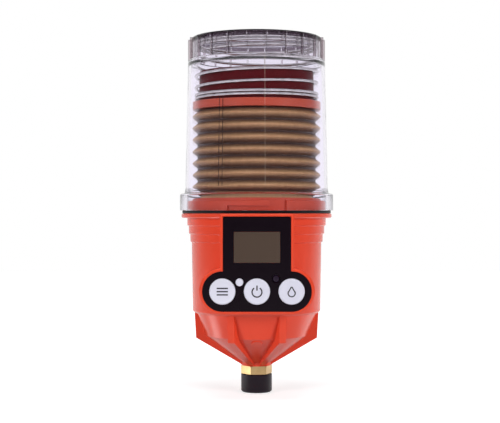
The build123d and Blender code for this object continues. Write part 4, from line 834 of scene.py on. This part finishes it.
faces_passed = 2.5          # of the four faces that the cover's two walls have
floor_z, floor_size = cap_bottom, 3.0
set_down()
bpy.ops.mesh.primitive_plane_add(size=floor_size, location=(0, 0, floor_z))
floor = bpy.context.object
floor.name = "studio_floor"
bpy.ops.object.transform_apply(location=True)
floor_white, tree, shader = blank_material("floor_white", {
    "Base Color": (0.58, 0.59, 0.60, 1), "Roughness": 0.9, "Specular IOR Level": 0.0,
    "Emission Color": (1, 1, 1, 1)})
place = add_node(tree, "TexCoord")
reach = add_node(tree, "VectorMath", operation="LENGTH")
glow = add_node(tree, "MapRange", {
    "From Min": 0.04, "From Max": 0.30, "To Min": 0.68, "To Max": 1.0})
axes = add_node(tree, "SeparateXYZ")
front = add_node(tree, "MapRange", {"From Min": -0.22, "From Max": -0.06, "To Min": 0.06})
ray, straight = straight_to_white(tree)
shown = add_node(tree, "Math", operation="MULTIPLY_ADD", use_clamp=True)
strength = add_node(tree, "Math", operation="MULTIPLY")
wire(tree,
     (place, "Object", reach, 0),
     (reach, "Value", glow, "Value"),
     (place, "Object", axes, "Vector"),
     (axes, "Y", front, "Value"),
     (ray, "Is Glossy Ray", shown, 0),
     (front, "Result", shown, 1),
     (straight, 0, shown, 2),
     (glow, "Result", strength, 0),
     (shown, 0, strength, 1),
     (strength, 0, shader, "Emission Strength"))
floor.data.materials.append(floor_white)

lamps = [
    # name, place, width and height, watts, aimed at
    ("left_softbox", (-0.70, -0.60, 0.20), (0.40, 0.60), 6.3, (0, 0, 0.10)),
    ("right_softbox", (0.70, -0.60, 0.20), (0.40, 0.60), 6.5, (0, 0, 0.10)),
    ("top_softbox", (0.0, -0.20, 0.95), (0.50, 0.40), 3.2, (0, 0, 0.10)),
    ("low_left", (-0.080, -0.004, -0.006), (0.03, 0.05), 0.018, (-0.05, 0, 0.07)),
    ("low_right", (0.090, 0.030, -0.006), (0.05, 0.10), 0.012, (0.05, 0, 0.07)),
]
for name, spot, size, power, target in lamps:
    lamp = bpy.data.lights.new(name, "AREA")
    lamp.shape = "RECTANGLE"
    lamp.size, lamp.size_y = size
    lamp.energy = power
    holder = bpy.data.objects.new(name, lamp)
    bpy.context.scene.collection.objects.link(holder)
    holder.location = spot
    holder.rotation_euler = (Vector(spot) - Vector(target)).to_track_quat("Z", "Y").to_euler()
    holder.visible_camera = False
    holder.visible_glossy = holder.visible_transmission = "softbox" not in name
    holder.visible_diffuse = "softbox" in name

world = bpy.data.worlds.new("studio_air")
bpy.context.scene.world = world
world.use_nodes = True
tree = world.node_tree
air = tree.nodes["Background"]
set_inputs(air, {"Color": (1, 1, 1, 1)})
heading = add_node(tree, "TexCoord")
axes = add_node(tree, "SeparateXYZ")
behind = add_node(tree, "MapRange", {
    "From Min": 0.20, "From Max": 0.62}, interpolation_type="SMOOTHSTEP")
low = add_node(tree, "MapRange", {
    "From Min": 0.85, "From Max": 0.40}, interpolation_type="SMOOTHSTEP")
lit = add_node(tree, "Math", operation="MULTIPLY")
cloth = add_node(tree, "Math", {1: 0.88, 2: 0.08}, operation="MULTIPLY_ADD")
_, straight = straight_to_white(tree)
strongest = add_node(tree, "Math", operation="MAXIMUM")
wire(tree,
     (heading, "Generated", axes, "Vector"),
     (axes, "Y", behind, "Value"),
     (axes, "Z", low, "Value"),
     (behind, "Result", lit, 0),
     (low, "Result", lit, 1),
     (lit, 0, cloth, 0),
     (cloth, 0, strongest, 0),
     (straight, 0, strongest, 1),
     (strongest, 0, air, "Strength"))

lens = bpy.data.cameras.new("studio_lens")
lens.lens = 87.84
lens.sensor_width = 36
camera = bpy.data.objects.new("studio_camera", lens)
bpy.context.scene.collection.objects.link(camera)
camera.location = (-0.0041, -0.766, 0.1014)
camera.rotation_euler = (math.radians(90), 0, 0)
bpy.context.scene.camera = camera
bpy.context.scene.view_settings.view_transform = "Standard"
